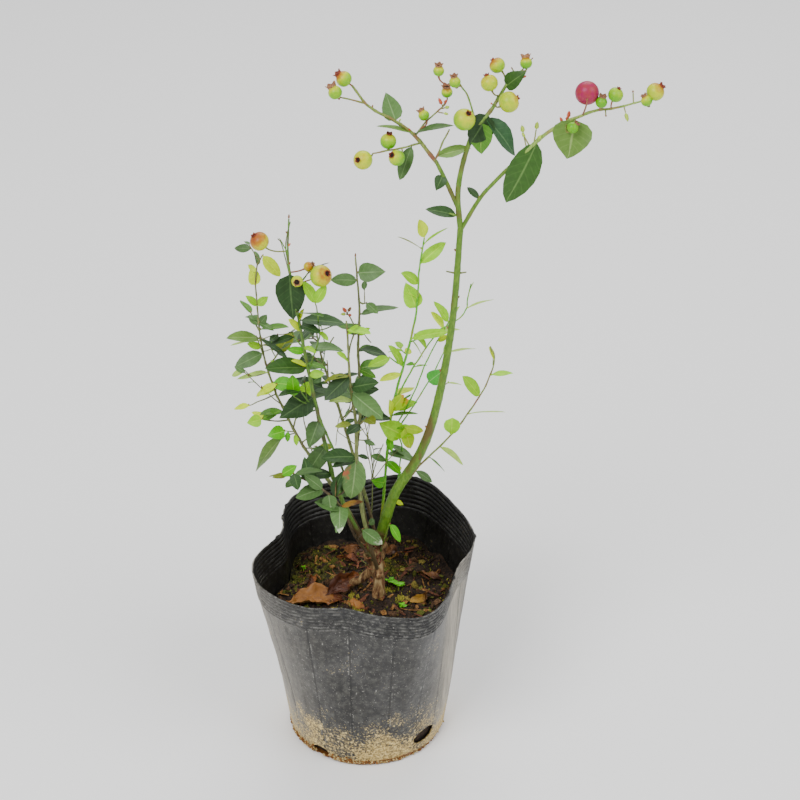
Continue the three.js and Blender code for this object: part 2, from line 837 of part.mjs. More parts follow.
// Adds the leaves and fruit that a stem or sprig names.
function addNamed(pieces, curve, { leaves = [], fruit = [] }, owner) {
  for (const [along, turn, rise, length, width = length * leafShape.slim, roll = 0] of leaves) {
    addLeaf(pieces, { root: curve.getPoint(along), turn, rise, length, width, roll }, owner);
  }
  for (const [along, turn, rise, stalk, diameter] of fruit) {
    const root = curve.getPoint(along);
    pieces.push(solidFrom(fruitGeometry({ root, turn, rise, stalk, diameter })));
    const centre = root.addScaledVector(direction(turn, rise), stalk);
    taken.push({ centre, radius: diameter / 2 + room.twig, owner });
  }
}

// Starts a mass: its stem, and its named sprigs, leaves and fruit.
function startMass(name) {
  const mass = masses[name];
  const stem = curveThrough([...stemStart(mass), ...mass.points]);
  const stemRadius = (share) => lerp(mass.radius[0], mass.radius[1], share);
  const steps = mass.points.length * limbSteps;
  const pieces = [solidFrom(limbGeometry(stem, stemRadius, limbSides, steps))];
  taken.push(...ballsAlong(stem, stemRadius, name, room.stemBalls));
  addNamed(pieces, stem, mass, name);
  (mass.sprigs ?? []).forEach((sprig, i) => {
    const curve = curveThrough(sprig.points);
    addTwig(pieces, curve, name + i);
    addNamed(pieces, curve, sprig, name + i);
  });
  return { name, mass, stem, pieces };
}

// Adds to a mass what its rule grows. A twig or leaf that would leave its mass's space, or touch
// anything, is skipped. Where a twig is skipped, one leaf is tried in its place.
function growMass({ name, mass, stem, pieces }) {
  const rule = mass.rule;
  if (!rule) return;
  const stemPoints = stem.getPoints(room.stemPoints);
  for (let i = 0; i < rule.twigs; i++) {
    const random = randomFrom(rule.seed + 101 * i);
    const within = ([low, high]) => lerp(low, high, random());
    const along = lerp(rule.lowest, rule.highest, (i + 0.5) / rule.twigs);
    const turn = rule.first + growth.golden * i + within(growth.turn);
    const rise = within(growth.rise);
    const length = rule.twigLength * lerp(...growth.shrink, along) * within(growth.length);
    const curve = curveThrough(twigPoints(stem.getPoint(along), turn, rise, length));
    const owner = name + "rule" + i;
    const balls = ballsAlong(curve, twigRadius, owner, room.twigBalls);
    const free = balls.slice(Math.ceil(balls.length * room.root));
    const grows = inSpace(free, stemPoints, mass.reach) && hasRoom(free, [name]);
    if (grows) addTwig(pieces, curve, owner);
    const roots = grows ? growth.leafShares.map((share) => curve.getPoint(share)) : [stem.getPoint(along)];
    roots.forEach((root, k) => {
      const leaf = {
        root,
        turn: turn + growth.leafSides[k] + within(growth.leafTurn),
        rise: rise * growth.leafRiseShare + within(growth.leafRise),
        length: rule.leafLength * within(growth.leafLength),
        roll: within(growth.leafRoll),
      };
      leaf.width = leaf.length * within(growth.leafWidth);
      const blade = leafBalls(leaf, owner);
      const fits = inSpace(blade, stemPoints, mass.reach) && hasRoom(blade, [owner]);
      if (fits) addLeaf(pieces, leaf, owner);
    });
  }
}

function massSolid({ mass, pieces }) {
  const whole = pieces.reduce((sum, piece) => sum.add(piece));
  return mainBody(whole.subtract(limbSolid(mass.from, clearance)));
}

function meshOf(name, solid, look) {
  const geometry = geometryFrom(solid).toNonIndexed();
  geometry.computeVertexNormals();
  const mesh = new THREE.Mesh(geometry, new THREE.MeshStandardMaterial(look));
  mesh.name = name;
  return mesh;
}

const group = new THREE.Group();
group.add(meshOf("pot", potSolid(), looks.film));
group.add(meshOf("soil", soilSolid(), looks.soil));
group.add(meshOf("trunk_foot", footSolid(), looks.bark));
for (const name of Object.keys(limbs)) {
  group.add(meshOf(name, limbSolid(name), looks.greenBark));
  limbBalls(name);
}
const grown = Object.keys(masses).map(startMass);
grown.forEach(growMass);
for (const one of grown) {
  const look = one.name.startsWith("shoot") ? looks.young : looks.leaf;
  group.add(meshOf(one.name, massSolid(one), look));
}

export default group;
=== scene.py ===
import math
from functools import partial
import bpy
import numpy as np
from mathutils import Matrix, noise


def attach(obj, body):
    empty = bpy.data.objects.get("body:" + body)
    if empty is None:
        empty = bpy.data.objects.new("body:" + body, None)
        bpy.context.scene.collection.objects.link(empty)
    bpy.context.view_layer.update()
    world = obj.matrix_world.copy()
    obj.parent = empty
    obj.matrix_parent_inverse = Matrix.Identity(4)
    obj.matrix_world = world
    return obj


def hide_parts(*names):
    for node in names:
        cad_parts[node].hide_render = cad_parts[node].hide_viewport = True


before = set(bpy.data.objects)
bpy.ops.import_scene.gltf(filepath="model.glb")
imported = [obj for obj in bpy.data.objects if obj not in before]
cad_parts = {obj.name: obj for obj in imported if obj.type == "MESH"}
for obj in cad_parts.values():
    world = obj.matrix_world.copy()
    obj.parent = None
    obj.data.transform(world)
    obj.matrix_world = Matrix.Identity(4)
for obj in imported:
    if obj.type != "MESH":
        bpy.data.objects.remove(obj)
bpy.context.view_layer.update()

mm = 0.001
up = np.array([0.0, 0.0, 1.0])

# small tools


def linear(code):
    # an sRGB hex colour as the linear colour that a node takes
    channels = [int(code[i:i + 2], 16) / 255 for i in (1, 3, 5)]
    return [c / 12.92 if c <= 0.04045 else ((c + 0.055) / 1.055) ** 2.4 for c in channels] + [1]


def clearSelection():
    if bpy.context.object and bpy.context.object.mode != "OBJECT":
        bpy.ops.object.mode_set(mode="OBJECT")
    bpy.ops.object.select_all(action="DESELECT")


def selectOnly(*pieces):
    clearSelection()
    for piece in pieces:
        piece.select_set(True)
    bpy.context.view_layer.objects.active = pieces[0]


def applyPlace():
    bpy.ops.object.transform_apply(location=True, rotation=True, scale=True)


def applyModifier(piece, kind, **settings):
    selectOnly(piece)
    modifier = piece.modifiers.new(kind.title(), kind)
    for key, value in settings.items():
        setattr(modifier, key, value)
    bpy.ops.object.modifier_apply(modifier=modifier.name)


def finish(piece, node, sharp=50, material=None):
    # sharp: edges that turn by more degrees than this stay sharp
    if material:
        piece.data.materials.clear()
        piece.data.materials.append(material)
    selectOnly(piece)
    bpy.ops.object.shade_smooth_by_angle(angle=math.radians(sharp))
    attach(piece, "root")
    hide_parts(node)


def smoothstep(value, low, high):
    share = np.clip((np.asarray(value, float) - low) / (high - low), 0, 1)
    return share * share * (3 - 2 * share)


def lerp(low, high, share):
    return low + (high - low) * share


def gauss(away, spread):
    return np.exp(-0.5 * (away / spread) ** 2)


def meshPoints(piece):
    # a mesh's points in millimetres
    points = np.empty(len(piece.data.vertices) * 3)
    piece.data.vertices.foreach_get("co", points)
    return points.reshape(-1, 3) / mm


def pointNormals(piece):
    normals = np.empty(len(piece.data.vertices) * 3)
    piece.data.vertices.foreach_get("normal", normals)
    return normals.reshape(-1, 3)


def movePoints(piece, points):
    piece.data.vertices.foreach_set("co", (points * mm).ravel())
    piece.data.update()


def addAttribute(piece, name, values):
    attribute = piece.data.attributes.new(name, "FLOAT", "POINT")
    attribute.data.foreach_set("value", np.asarray(values, np.float32))


def roughly(points, size, seed=0.0):
    # smooth noise from about -1 to 1 at each point, with bumps of about this size in millimetres
    return np.array([noise.noise((p[0] / size + seed, p[1] / size - seed, p[2] / size)) for p in points])


def layered(points, layers):
    # a sum of such noise: each layer's size, seed and height, and how much it is flattened along Z
    return sum(roughly(points * (1, 1, flat), size, seed) * high for size, seed, high, flat in layers)


# materials

materials = {}
nodeInputs = {
    "Mix": (0, 6, 7), "Bump": ("Height", "Strength", "Distance"), "HueSaturation": ("Color", "Value"),
    "TexNoise": ("Vector", "Scale", "Detail", "Roughness"), "Mapping": ("Vector", "Scale"),
}
nodeOutput = {"Mix": 2, "Attribute": "Fac", "TexCoord": "Object", "VectorMath": "Value"}
mathSigns = {"+": "ADD", "-": "SUBTRACT", "*": "MULTIPLY", "*+": "MULTIPLY_ADD", ">": "GREATER_THAN",
             "size": "ABSOLUTE", "sine": "SINE", "most": "MAXIMUM"}


def addNode(tree, kind, *inputs, stops=(), **settings):
    # adds a node and gives its output. An input is a number, an sRGB colour or another node's output,
    # stops are a ramp's places and colours, and a sign of mathSigns is a node that does that sum
    if kind in mathSigns:
        kind, settings = "Math", {"operation": mathSigns[kind]}
    elif kind == "Mix":
        settings = {"data_type": "RGBA"}
    node = tree.nodes.new("ShaderNode" + kind)
    for key, value in settings.items():
        setattr(node, key, value)
    for place, value in zip(nodeInputs.get(kind, range(5)), inputs):
        if isinstance(value, bpy.types.NodeSocket):
            tree.links.new(value, node.inputs[place])
        else:
            node.inputs[place].default_value = linear(value) if isinstance(value, str) else value
    if stops:
        elements = node.color_ramp.elements
        while len(elements) < len(stops):
            elements.new(1)
        for element, (place, colour) in zip(elements, stops):
            element.position, element.color = place, linear(colour)
    return node.outputs[nodeOutput.get(kind, 0)]


def shaderInputs(material):
    return material.node_tree.nodes["Principled BSDF"].inputs


def newMaterial(name, roughness=0.5, ior=1.5, specular=0.5):
    # gives the material, and addNode for its nodes
    material = bpy.data.materials.new(name)
    material.use_nodes = True
    for socket, value in (("Roughness", roughness), ("IOR", ior), ("Specular IOR Level", specular)):
        shaderInputs(material)[socket].default_value = value
    return material, partial(addNode, material.node_tree)


def setSkin(material, colour, bump, roughness=None):
    for socket, output in (("Base Color", colour), ("Normal", bump), ("Roughness", roughness)):
        if output:
            material.node_tree.links.new(output, shaderInputs(material)[socket])


def leafMaterial(kind, top, under, rib, tip=None):
    # leaf: a thin waxy skin over green pulp, satin on top and paler and duller below,
    # with a pale rib and faint side veins
    material, node = newMaterial("leaf_" + kind, 0.45, 1.45, 0.28)
    place = node("SeparateXYZ", node("UVMap", uv_map="blade"))
    along = place.node.outputs["Y"]
    below = node(">", place, 1.5)
    across = node("*+", below, -2.0, place)
    fromRib = node("size", node("-", across, 0.5))
    # seven side veins on each half, leaving the rib at about 50 degrees
    wave = node("sine", node("*+", along, 44.0, node("*+", fromRib, -17.6, 0.0)))
    lines = node("most", node("MapRange", fromRib, 0.012, 0.045, 0.5, 0.0),
                 node("MapRange", wave, 0.8, 1.0, 0.0, 0.1))
    # mottling of about 3 mm, and each leaf a little lighter or darker than the next
    mottle = node("TexNoise", node("TexCoord"), 320.0, 3.0)
    shade = node("Attribute", attribute_name="shade")
    value = node("*+", shade, 0.5, node("*+", mottle, 0.7, 0.4))
    colour = node("Mix", below, top, under)
    if tip:
        # a patch of another colour round a place along the blade, 1 being its tip
        patch, spread, far, *aside = tip
        apart = node("size", node("-", along, far))
        if aside:
            apart = node("+", apart, node("size", node("-", across, aside[0])))
        near = node("*+", mottle, 0.9, node("-", 1.0, apart))
        colour = node("Mix", node("MapRange", near, spread, spread + 0.25), colour, patch)
    colour = node("HueSaturation", node("Mix", lines, colour, rib), value)
    setSkin(material, colour, node("Bump", lines, 0.5, 0.3 * mm))
    materials[kind] = material


# the tones that are dealt out to the leaves: top, underside, rib, and a tip or patch where there is one:
# its colour, how far it spreads, and its place along and across the blade
leafTones = {
    "dark": ("#2a4620", "#58784a", "#64844a"),
    "bluish": ("#2c4e2e", "#54744e", "#64865a"),
    "midDark": ("#365a20", "#658848", "#749850"),
    "mid": ("#477620", "#7ca042", "#92b84c"),
    "grey": ("#4c6c38", "#728e60", "#82a068"),
    "whitish": ("#5e8034", "#84a45c", "#a4bc70"),
    "bright": ("#4c9c00", "#88c232", "#9cd044"),
    "lime": ("#86c000", "#a8d41c", "#c0e044"),
    "yellow": ("#bcd400", "#c8e01c", "#d8e84c"),
    "pale": ("#a0c050", "#b6d07c", "#c8dc90"),
    "olive": ("#707e1c", "#8c9644", "#a0ac54"),
    "blueGreen": ("#3f9a30", "#74b458", "#8cc470"),
    "bronze": ("#98bc00", "#b4ac34", "#ccc854", ("#b87420", 1.24, 1.0)),
    "spotted": ("#54743c", "#7c9460", "#92a870", ("#a04c34", 1.22, 0.36, 0.82)),
    "whiteTip": ("#4c6c38", "#789260", "#90a874", ("#ccd2b8", 1.22, 1.0)),
    "dry": ("#8e6a26", "#967446", "#704e22", ("#543418", 0.9, 1.0)),
    "deadTan": ("#92602c", "#a07442", "#663c1c", ("#562c18", 1.05, 1.0)),
    "deadRed": ("#502c1c", "#643c28", "#2e1810", ("#7c4822", 1.0, 1.0)),
    "deadBrown": ("#6c4628", "#785230", "#442a18", ("#382012", 0.95, 1.0)),
}
for kind, tone in leafTones.items():
    leafMaterial(kind, *tone)


def skinMaterial(kind, name, colours, size, stretch, roughness, bumpDepth, fade=None):
    # a mottled skin: noise through a ramp of colours. The shade attribute turns it to the colour that it
    # fades to, or makes it lighter and darker where there is none
    material, node = newMaterial(name, roughness, specular=0.3)
    grain = node("TexNoise", node("Mapping", node("TexCoord"), (1, 1, 1 / stretch)), 1 / (size * mm), 5.0, 0.6)
    places = [lerp(0.32, 0.68, i / (len(colours) - 1)) for i in range(len(colours))]
    colour = node("ValToRGB", grain, stops=list(zip(places, colours)))
    shade = node("Attribute", attribute_name="shade")
    if fade:
        colour = node("Mix", node("MapRange", node("*+", grain, 0.5, shade), 0.6, 0.95), colour, fade)
    else:
        colour = node("HueSaturation", colour, node("*+", shade, 0.5, 0.75))
    setSkin(material, colour, node("Bump", grain, 0.7, bumpDepth * mm))
    materials[kind] = material


# skins: name, colours from dark to light, the mottling's size in millimetres and how far it is drawn out
# along Z, roughness, the bumps' depth in millimetres, and the colour that it fades to
skins = {
    # live green bark: smooth and satin, with brown corky patches and fine lengthwise grain
    "caneSkin": ("bark_green_cane", "#46691c #567b1f #688a28", 1.6, 2.2, 0.45, 0.1, "#5c5024"),
    "boughSkin": ("bark_green_bough", "#44681c #5a7e24 #748f30", 1.2, 5, 0.45, 0.1, "#5e4a26"),
    "stemGreen": ("bark_green_stem", "#3f6424 #567c2e #70903c", 1.0, 5, 0.5, 0.1, "#5c4a30"),
    "twigOlive": ("bark_twig_olive", "#5c7030 #788a3e #8f9a4c", 0.9, 4, 0.5, 0.08, "#84483a"),
    # old bark: dry and matt, tan ridges over dark furrows
    "footBark": ("bark_old_foot", "#2e1c12 #6a4a2e #8e734c #b49e72", 2.4, 3, 0.85, 0.4),
    "twigBrown": ("bark_twig_brown", "#505632 #6e7644 #8a9458", 1.0, 5, 0.65, 0.1, "#5c4e34"),
    "twigDark": ("bark_twig_dark", "#3a3024 #544634 #6c6046", 1.0, 5, 0.65, 0.1, "#5c6034"),
    "twigGreen": ("bark_twig_green", "#54782a #6f923a #8aa64c", 0.9, 4, 0.5, 0.08, "#7c4434"),
    "twigPale": ("bark_twig_pale", "#688a34 #8aa84a #a4bc62", 0.9, 4, 0.5, 0.08, "#8a6a3c"),
    "twigBright": ("bark_twig_bright", "#3f8a14 #5aa81e #7cbc3a", 0.9, 4, 0.5, 0.08, "#8a9a30"),
    "twigLime": ("bark_twig_lime", "#74a828 #90bc34 #a8c850", 0.9, 4, 0.5, 0.08, "#989038"),
    "twigRed": ("bark_twig_red", "#6e4030 #8a523c #96704a", 0.9, 4, 0.55, 0.08),
    "budRed": ("bud_scale_red", "#84301f #b84a30 #cc7c48", 0.8, 1, 0.5, 0.05),
    "budGreen": ("bud_green", "#8cb42c #a8c43a #c4d058", 0.8, 1, 0.5, 0.05),
    "budBrown": ("bud_scale_brown", "#5c3c28 #80583a #98784c", 0.8, 1, 0.6, 0.05),
    # a dried flower's cup on a berry: papery, red-brown, almost black inside
    "calyx": ("calyx_dry", "#4e2018 #7c3628 #a45a38", 0.8, 1, 0.6, 0.1),
    "calyxYoung": ("calyx_young", "#5c4c20 #94604a #b09058", 0.8, 1, 0.6, 0.1),
    "calyxDark": ("calyx_dark", "#0f0805 #20120a #3c2414", 0.6, 1, 0.7, 0.1),
    # peat potting mix and what lies on it: fibrous and matt
    "crumb": ("peat_crumbs", "#120b07 #24180f #3c291b", 0.9, 1, 0.95, 0.3),
    "crumbLight": ("peat_fibre", "#2b1c12 #4a3320 #74583a", 0.9, 1, 0.95, 0.3),
    "chipRed": ("bark_chip_red", "#2e160e #56301e #78482c", 1.2, 1, 0.85, 0.3),
    "chipTan": ("bark_chip_tan", "#4c3018 #7c5428 #a07c48", 1.2, 1, 0.85, 0.3),
    # mud and sand: dry, matt grains
    "mud": ("mud_dry", "#4a2e14 #784c24 #9c703c", 0.9, 1, 0.95, 0.2),
    "sand": ("sand_grains", "#80683e #aa925e #cfc094", 0.9, 1, 0.9, 0.2),
    # moss: soft and matt
    "moss": ("moss_olive", "#2c3010 #4c5018 #70702a", 0.8, 1, 0.9, 0.1),
    "mossDry": ("moss_dry", "#3a3412 #6a5e24 #8e7e3c", 0.8, 1, 0.9, 0.1),
    "mossYellow": ("moss_yellow", "#5c5a1a #84802a #a89c44", 0.8, 1, 0.9, 0.1),
}
for kind, (name, colours, *look) in skins.items():
    skinMaterial(kind, name, colours.split(), *look)


def berrySkinMaterial():
    # unripe berry: a tight waxy skin, lime turning yellow, orange and pink-red, with a faint bloom
    material, node = newMaterial("berry_skin", 0.36, 1.4, 0.4)
    bloom = node("TexNoise", node("TexCoord"), 420.0, 4.0)
    ripe = node("-", node("*+", bloom, 0.36, node("Attribute", attribute_name="shade")), 0.18)
    colour = node("ValToRGB", ripe, stops=[(0.0, "#5ca400"), (0.2, "#90bc00"), (0.4, "#c0c808"),
                                           (0.6, "#ac7610"), (0.8, "#9a4428"), (1.0, "#98164c")])
    setSkin(material, colour, node("Bump", bloom, 0.15, 0.1 * mm))
    materials["berry"] = material


berrySkinMaterial()


def potFilmMaterial():
    # polyethylene film, blown and heat-sealed: faded charcoal, satin, dusty, scuffed along its creases; with painted
    # shade in its creases and inside, and painted sheen at its side edges
    material, node = newMaterial("film_polyethylene", specular=0.35)
    where = node("TexCoord")
    height = node("SeparateXYZ", where).node.outputs["Z"]
    crease, ridge, dust, inside = (node("Attribute", attribute_name=name)
                                   for name in ("crease", "ridge", "dust", "inside"))
    broad = node("TexNoise", where, 45.0, 4.0)
    colour = node("ValToRGB", broad, stops=[(0.3, "#161617"), (0.5, "#232324"), (0.72, "#3a3a3b")])
    # dull scuffs
    wear = node("TexNoise", where, 260.0, 6.0, 0.7)
    colour = node("Mix", node("MapRange", wear, 0.46, 0.7, 0.0, 0.32), colour, "#7a7a72")
    # dust that has run down in streaks about 2 mm wide and 30 mm long; the same mask carries a pale band of painted
    # sheen at the pot's left and right edges
    streaks = node("TexNoise", node("Mapping", where, (1, 1, 0.07)), 420.0, 5.0, 0.65)
    dustAndSheenMask = node("*", node("MapRange", streaks, 0.38, 0.68, 0.45, 1.0), dust)
    colour = node("Mix", dustAndSheenMask, colour, "#bab2a2")
    # painted shade: dark lines in the creases, where the wall sinks in; and pale worn edges on them and on the
    # ridges
    colour = node("Mix", node("*", crease, crease), colour, "#060607")
    flank = node("ValToRGB", crease, stops=[(0.1, "#000000"), (0.24, "#ffffff"), (0.4, "#ffffff"),
                                            (0.56, "#000000")])
    chips = node("*", node("MapRange", wear, 0.53, 0.68, 0.0, 0.7), flank)
    wornRidges = node("*", node("MapRange", wear, 0.46, 0.66), ridge)
    colour = node("Mix", node("most", wornRidges, chips), colour, "#aaa8a2")
    # white specks, about half a millimetre across
    speck = node("TexNoise", where, 900.0, 2.0)
    colour = node("Mix", node("MapRange", speck, 0.66, 0.75, 0.0, 0.42), colour, "#d8d4cc")
    # sand splashed on the foot of the wall: grains of about 1.3 mm, dense below and thin above 30 mm
    sandy = node("+", node("MapRange", height, 2 * mm, 56 * mm, 0.55, 0.2), node("*+", broad, 0.7, -0.35))
    grains = node("TexNoise", where, 620.0, 4.0, 0.75)
    dense = node("+", grains, sandy)
    sand = node("ValToRGB", grains, stops=[(0.35, "#66502a"), (0.5, "#b09450"), (0.65, "#e2cc90")])
    colour = node("Mix", node("MapRange", dense, 0.9, 1.05), colour, sand)
    # mud caked on the bottom edge
    depth = node("-", node("*+", broad, 10 * mm, -2 * mm), height)
    colour = node("Mix", node("MapRange", depth, -0.6 * mm, 0.6 * mm), colour, "#744a22")
    # painted shade: the inside of the wall is darkened to 28 % of its colour
    colour = node("HueSaturation", colour, node("*+", inside, -0.72, 1.0))
    setSkin(material, colour, node("Bump", dense, 0.35, 0.5 * mm), node("MapRange", dustAndSheenMask, 0.0, 1.0, 0.4, 0.75))
    return material


def pottingMixMaterial(mossPlaces):
    # peat potting mix: dark brown crumbs and fibres, damp, with olive moss in patches
    material, node = newMaterial("potting_mix_peat", 0.92, 1.4)
    where = node("TexCoord")
    crumbs = node("TexNoise", where, 420.0, 8.0, 0.7)
    broad = node("TexNoise", where, 90.0, 3.0)
    colour = node("ValToRGB", crumbs, stops=[(0.3, "#0c0805"), (0.48, "#20150d"), (0.6, "#3a291b"),
                                             (0.75, "#5c432c")])
    moss = node("ValToRGB", crumbs, stops=[(0.36, "#100f06"), (0.5, "#33330f"), (0.62, "#5e5c1c"),
                                           (0.76, "#88822e")])
    for x, y, radius in mossPlaces:
        away = node("VectorMath", where, (x * mm, y * mm, 105 * mm), operation="DISTANCE")
        ragged = node("*+", broad, -22 * mm, away)
        patch = node("MapRange", ragged, (radius - 16) * mm, (radius - 8) * mm, 0.75, 0.0)
        colour = node("Mix", patch, colour, moss)
    setSkin(material, colour, node("Bump", crumbs, 1.0, 1.2 * mm))
    return material


print("materials made")

# many small things are joined as arrays into one mesh


class Bundle:
    def __init__(self):
        self.points, self.faces, self.kinds, self.uvs, self.shades = [], [], [], [], []
        self.count = 0

    def add(self, points, faces, kind, uvs=None, shade=0.5):
        # kind is one material's name, or one for each face
        self.points.append(points)
        self.faces.extend([tuple(corner + self.count for corner in face) for face in faces])
        self.kinds.extend([kind] * len(faces) if isinstance(kind, str) else kind)
        self.uvs.append(np.zeros((sum(map(len, faces)), 2)) if uvs is None else uvs)
        self.shades.append(np.broadcast_to(shade, len(points)))
        self.count += len(points)

    def makePiece(self, name, node, slot=None, sharp=50):
        mesh = bpy.data.meshes.new(name)
        mesh.from_pydata((np.vstack(self.points) * mm).tolist(), [], self.faces)
        kinds = sorted(set(self.kinds))
        for kind in kinds:
            mesh.materials.append(materials[kind])
        mesh.polygons.foreach_set("material_index", [kinds.index(kind) for kind in self.kinds])
        mesh.uv_layers.new(name="blade").data.foreach_set("uv", np.vstack(self.uvs).ravel())
        piece = bpy.data.objects.new(name, mesh)
        bpy.context.scene.collection.objects.link(piece)
        addAttribute(piece, "shade", np.concatenate(self.shades))
        finish(piece, node, sharp)
        return piece


def ringFaces(rings, sides, pointed=False):
    # a closed skin over rings of points, with a flat end or a pointed one
    faces = []
    for ring in range(rings - 1):
        for side in range(sides):
            a, b = ring * sides + side, ring * sides + (side + 1) % sides
            faces.append((a, b, b + sides, a + sides))
    last = (rings - 1) * sides
    faces.append(tuple(reversed(range(sides))))
    if pointed:
        faces.extend([(last + side, last + (side + 1) % sides, last + sides) for side in range(sides)])
    else:
        faces.append(tuple(range(last, last + sides)))
    return faces


def tube(points, radii, sides):
    # a round skin along points; its rings start from the axis that it runs along least
    points = np.asarray(points, float)
    lean = np.eye(3)[np.argmin(np.abs(points[-1] - points[0]))]
    along = np.gradient(points, axis=0)
    along /= np.linalg.norm(along, axis=1)[:, None]
    side = np.cross(lean, along)
    side /= np.linalg.norm(side, axis=1)[:, None]
    other = np.cross(along, side)
    angles = np.arange(sides) * 2 * math.pi / sides
    out = side[:, None] * np.cos(angles)[None, :, None] + other[:, None] * np.sin(angles)[None, :, None]
    rings = points[:, None] + out * np.broadcast_to(radii, len(points))[:, None, None]
    return rings.reshape(-1, 3), ringFaces(len(points), sides)


def curveThrough(points):
    # a smooth curve through points, read at shares from 0 to 1 of its spans
    knots = np.array(points, float)
    knots = np.vstack([2 * knots[0] - knots[1], knots, 2 * knots[-1] - knots[-2]])
    spans = len(knots) - 3

    def at(share):
        place = np.asarray(share, float) * spans
        span = np.minimum(place.astype(int), spans - 1)
        part = (place - span)[..., None]
        a, b, c, d = (knots[span + i] for i in range(4))
        start, end = (c - a) / 2, (d - b) / 2
        return b + start * part + (3 * (c - b) - 2 * start - end) * part ** 2 \
            + (2 * (b - c) + start + end) * part ** 3
    return at


def lengthOf(curve, steps):
    return np.linalg.norm(np.diff(curve(np.linspace(0, 1, steps)), axis=0), axis=1).sum()


def direction(turn, rise):
    # turn is round Z from the X axis, and rise is above the level, in degrees
    level = math.cos(math.radians(rise))
    return np.array([level * math.cos(math.radians(turn)), level * math.sin(math.radians(turn)),
                     math.sin(math.radians(rise))])


def randomFrom(seed):
    state = seed * 7919

    def draw():
        nonlocal state
        state = (state * 1664525 + 1013904223) & 0xFFFFFFFF
        return state / 4294967296
    return draw


# the pot: a film wall whose rim has gone out of round

potSizes = {
    "height": 145, "rimRadius": 74.5, "baseRadius": 54, "wall": 1.0, "drawnWall": 0.9, "corner": 2,
    "rimRise": 4, "riseFrom": 104, "foldFrom": 30,  # the rim's tilt and folds start at these heights
    "bandFrom": 122,  # the ridged band of the rim starts here
    "around": 416, "wallRow": 3.4, "bandRow": 0.52,  # faces round the wall, and heights of their rows
    "ridgeEvery": 3.1, "ridgeOut": 0.45, "creaseIn": 0.55, "creaseWidth": 0.9, "puffIn": 0.5, "puffWidth": 9,
    "cornerRows": [(0.35, 1.1), (1.3, 0.3)], "wallFrom": 3,  # the foot's rows: height, and how far inside
    "rimWave": 0.6, "ridgeWear": (0.5, 0.22), "holeDepth": 16, "holeBevel": 0.2,
    "dents": [(22, 3.1, 0.9, 0.4), (8, 7.7, 0.35, 0.5)], "deepest": 0.45,
    # the bands at 180 and -20 degrees, by the pot's left and right edges as seen, are painted sheen on top of the
    # dust
    "dust": [(-20, 12, 0.95), (180, 22, 1.2), (-145, 16, 0.04)],  # direction, spread in degrees, strength
    "dustAll": 0.03, "dustBack": 0.12, "dustInside": 0.06,
    # folds of the rim: direction in degrees, how far out it stands, and its spread in degrees
    "folds": [(68, 12, 14), (93, -5, 7), (122, 3, 12), (166, -16, 15), (212, 7, 20), (259, -7, 9),
              (298, 10, 12), (338, -8.5, 13)],
    "creases": [-146, -121, -99, -75, -54, -36, -12, 11, 34, 57, 80, 102, 124, 147, 169, -168],
    # drain holes: direction, height, half length, half height, slant in degrees
    "drainHoles": [(-45, 14.5, 9.2, 5.6, 8), (-125, 5, 6.5, 3.8, 0), (145, 6, 6, 3, 10), (52, 9, 6, 3, -15)],
}


def wallRadiusAt(height):
    return lerp(potSizes["baseRadius"], potSizes["rimRadius"], height / potSizes["height"])


def degreesApart(angle, degrees):
    return (np.degrees(angle) - degrees + 180) % 360 - 180


def foldAt(angle, height):
    out = sum(far * gauss(degreesApart(angle, at), spread) for at, far, spread in potSizes["folds"])
    return out * smoothstep(height, potSizes["foldFrom"], potSizes["height"])


def rimLiftAt(angle, height):
    return potSizes["rimRise"] * np.sin(angle) * smoothstep(height, potSizes["riseFrom"], potSizes["height"])


def folded(points):
    # gives an upright turned shape the pot's folds
    radius = np.hypot(points[:, 0], points[:, 1])
    angle = np.arctan2(points[:, 1], points[:, 0])
    share = np.minimum(1, radius / (wallRadiusAt(points[:, 2]) - potSizes["wall"]))
    scale = (radius + foldAt(angle, points[:, 2]) * share) / np.maximum(radius, 0.01)
    moved = points.copy()
    moved[:, :2] *= scale[:, None]
    moved[:, 2] += rimLiftAt(angle, points[:, 2]) * (radius > 1)
    return moved


def fromCrease(angle, height):
    # distance in millimetres round the wall to the nearest crease
    apart = np.abs(degreesApart(angle[:, None], np.array(potSizes["creases"])[None])).min(axis=1)
    return np.radians(apart) * wallRadiusAt(height)


def bandAt(height):
    # 1 in the ridged band, and the height of its ridges from -1 to 1
    band = smoothstep(height, potSizes["bandFrom"], potSizes["bandFrom"] + 2)
    return band, np.cos(2 * math.pi * (height - potSizes["height"]) / potSizes["ridgeEvery"])


def drawnUp(name, around, rows, isOpen):
    # a disc whose edge is drawn up through rows of height and radius
    (height, radius), *rows = rows
    clearSelection()
    bpy.ops.mesh.primitive_circle_add(vertices=around, radius=radius * mm, fill_type="NGON",
                                      location=(0, 0, height * mm))
    piece = bpy.context.object
    piece.name = piece.data.name = name
    bpy.ops.object.mode_set(mode="EDIT")
    bpy.ops.mesh.select_mode(type="FACE")
    bpy.ops.mesh.select_all(action="SELECT")
    for nextHeight, nextRadius in rows:
        bpy.ops.mesh.extrude_region_move(TRANSFORM_OT_translate={"value": (0, 0, (nextHeight - height) * mm)})
        bpy.ops.transform.resize(value=(nextRadius / radius, nextRadius / radius, 1))
        height, radius = nextHeight, nextRadius
    if isOpen:
        bpy.ops.mesh.delete(type="ONLY_FACE")
    bpy.ops.mesh.select_all(action="SELECT")
    bpy.ops.mesh.normals_make_consistent(inside=False)
    bpy.ops.object.mode_set(mode="OBJECT")
    applyPlace()
    return piece


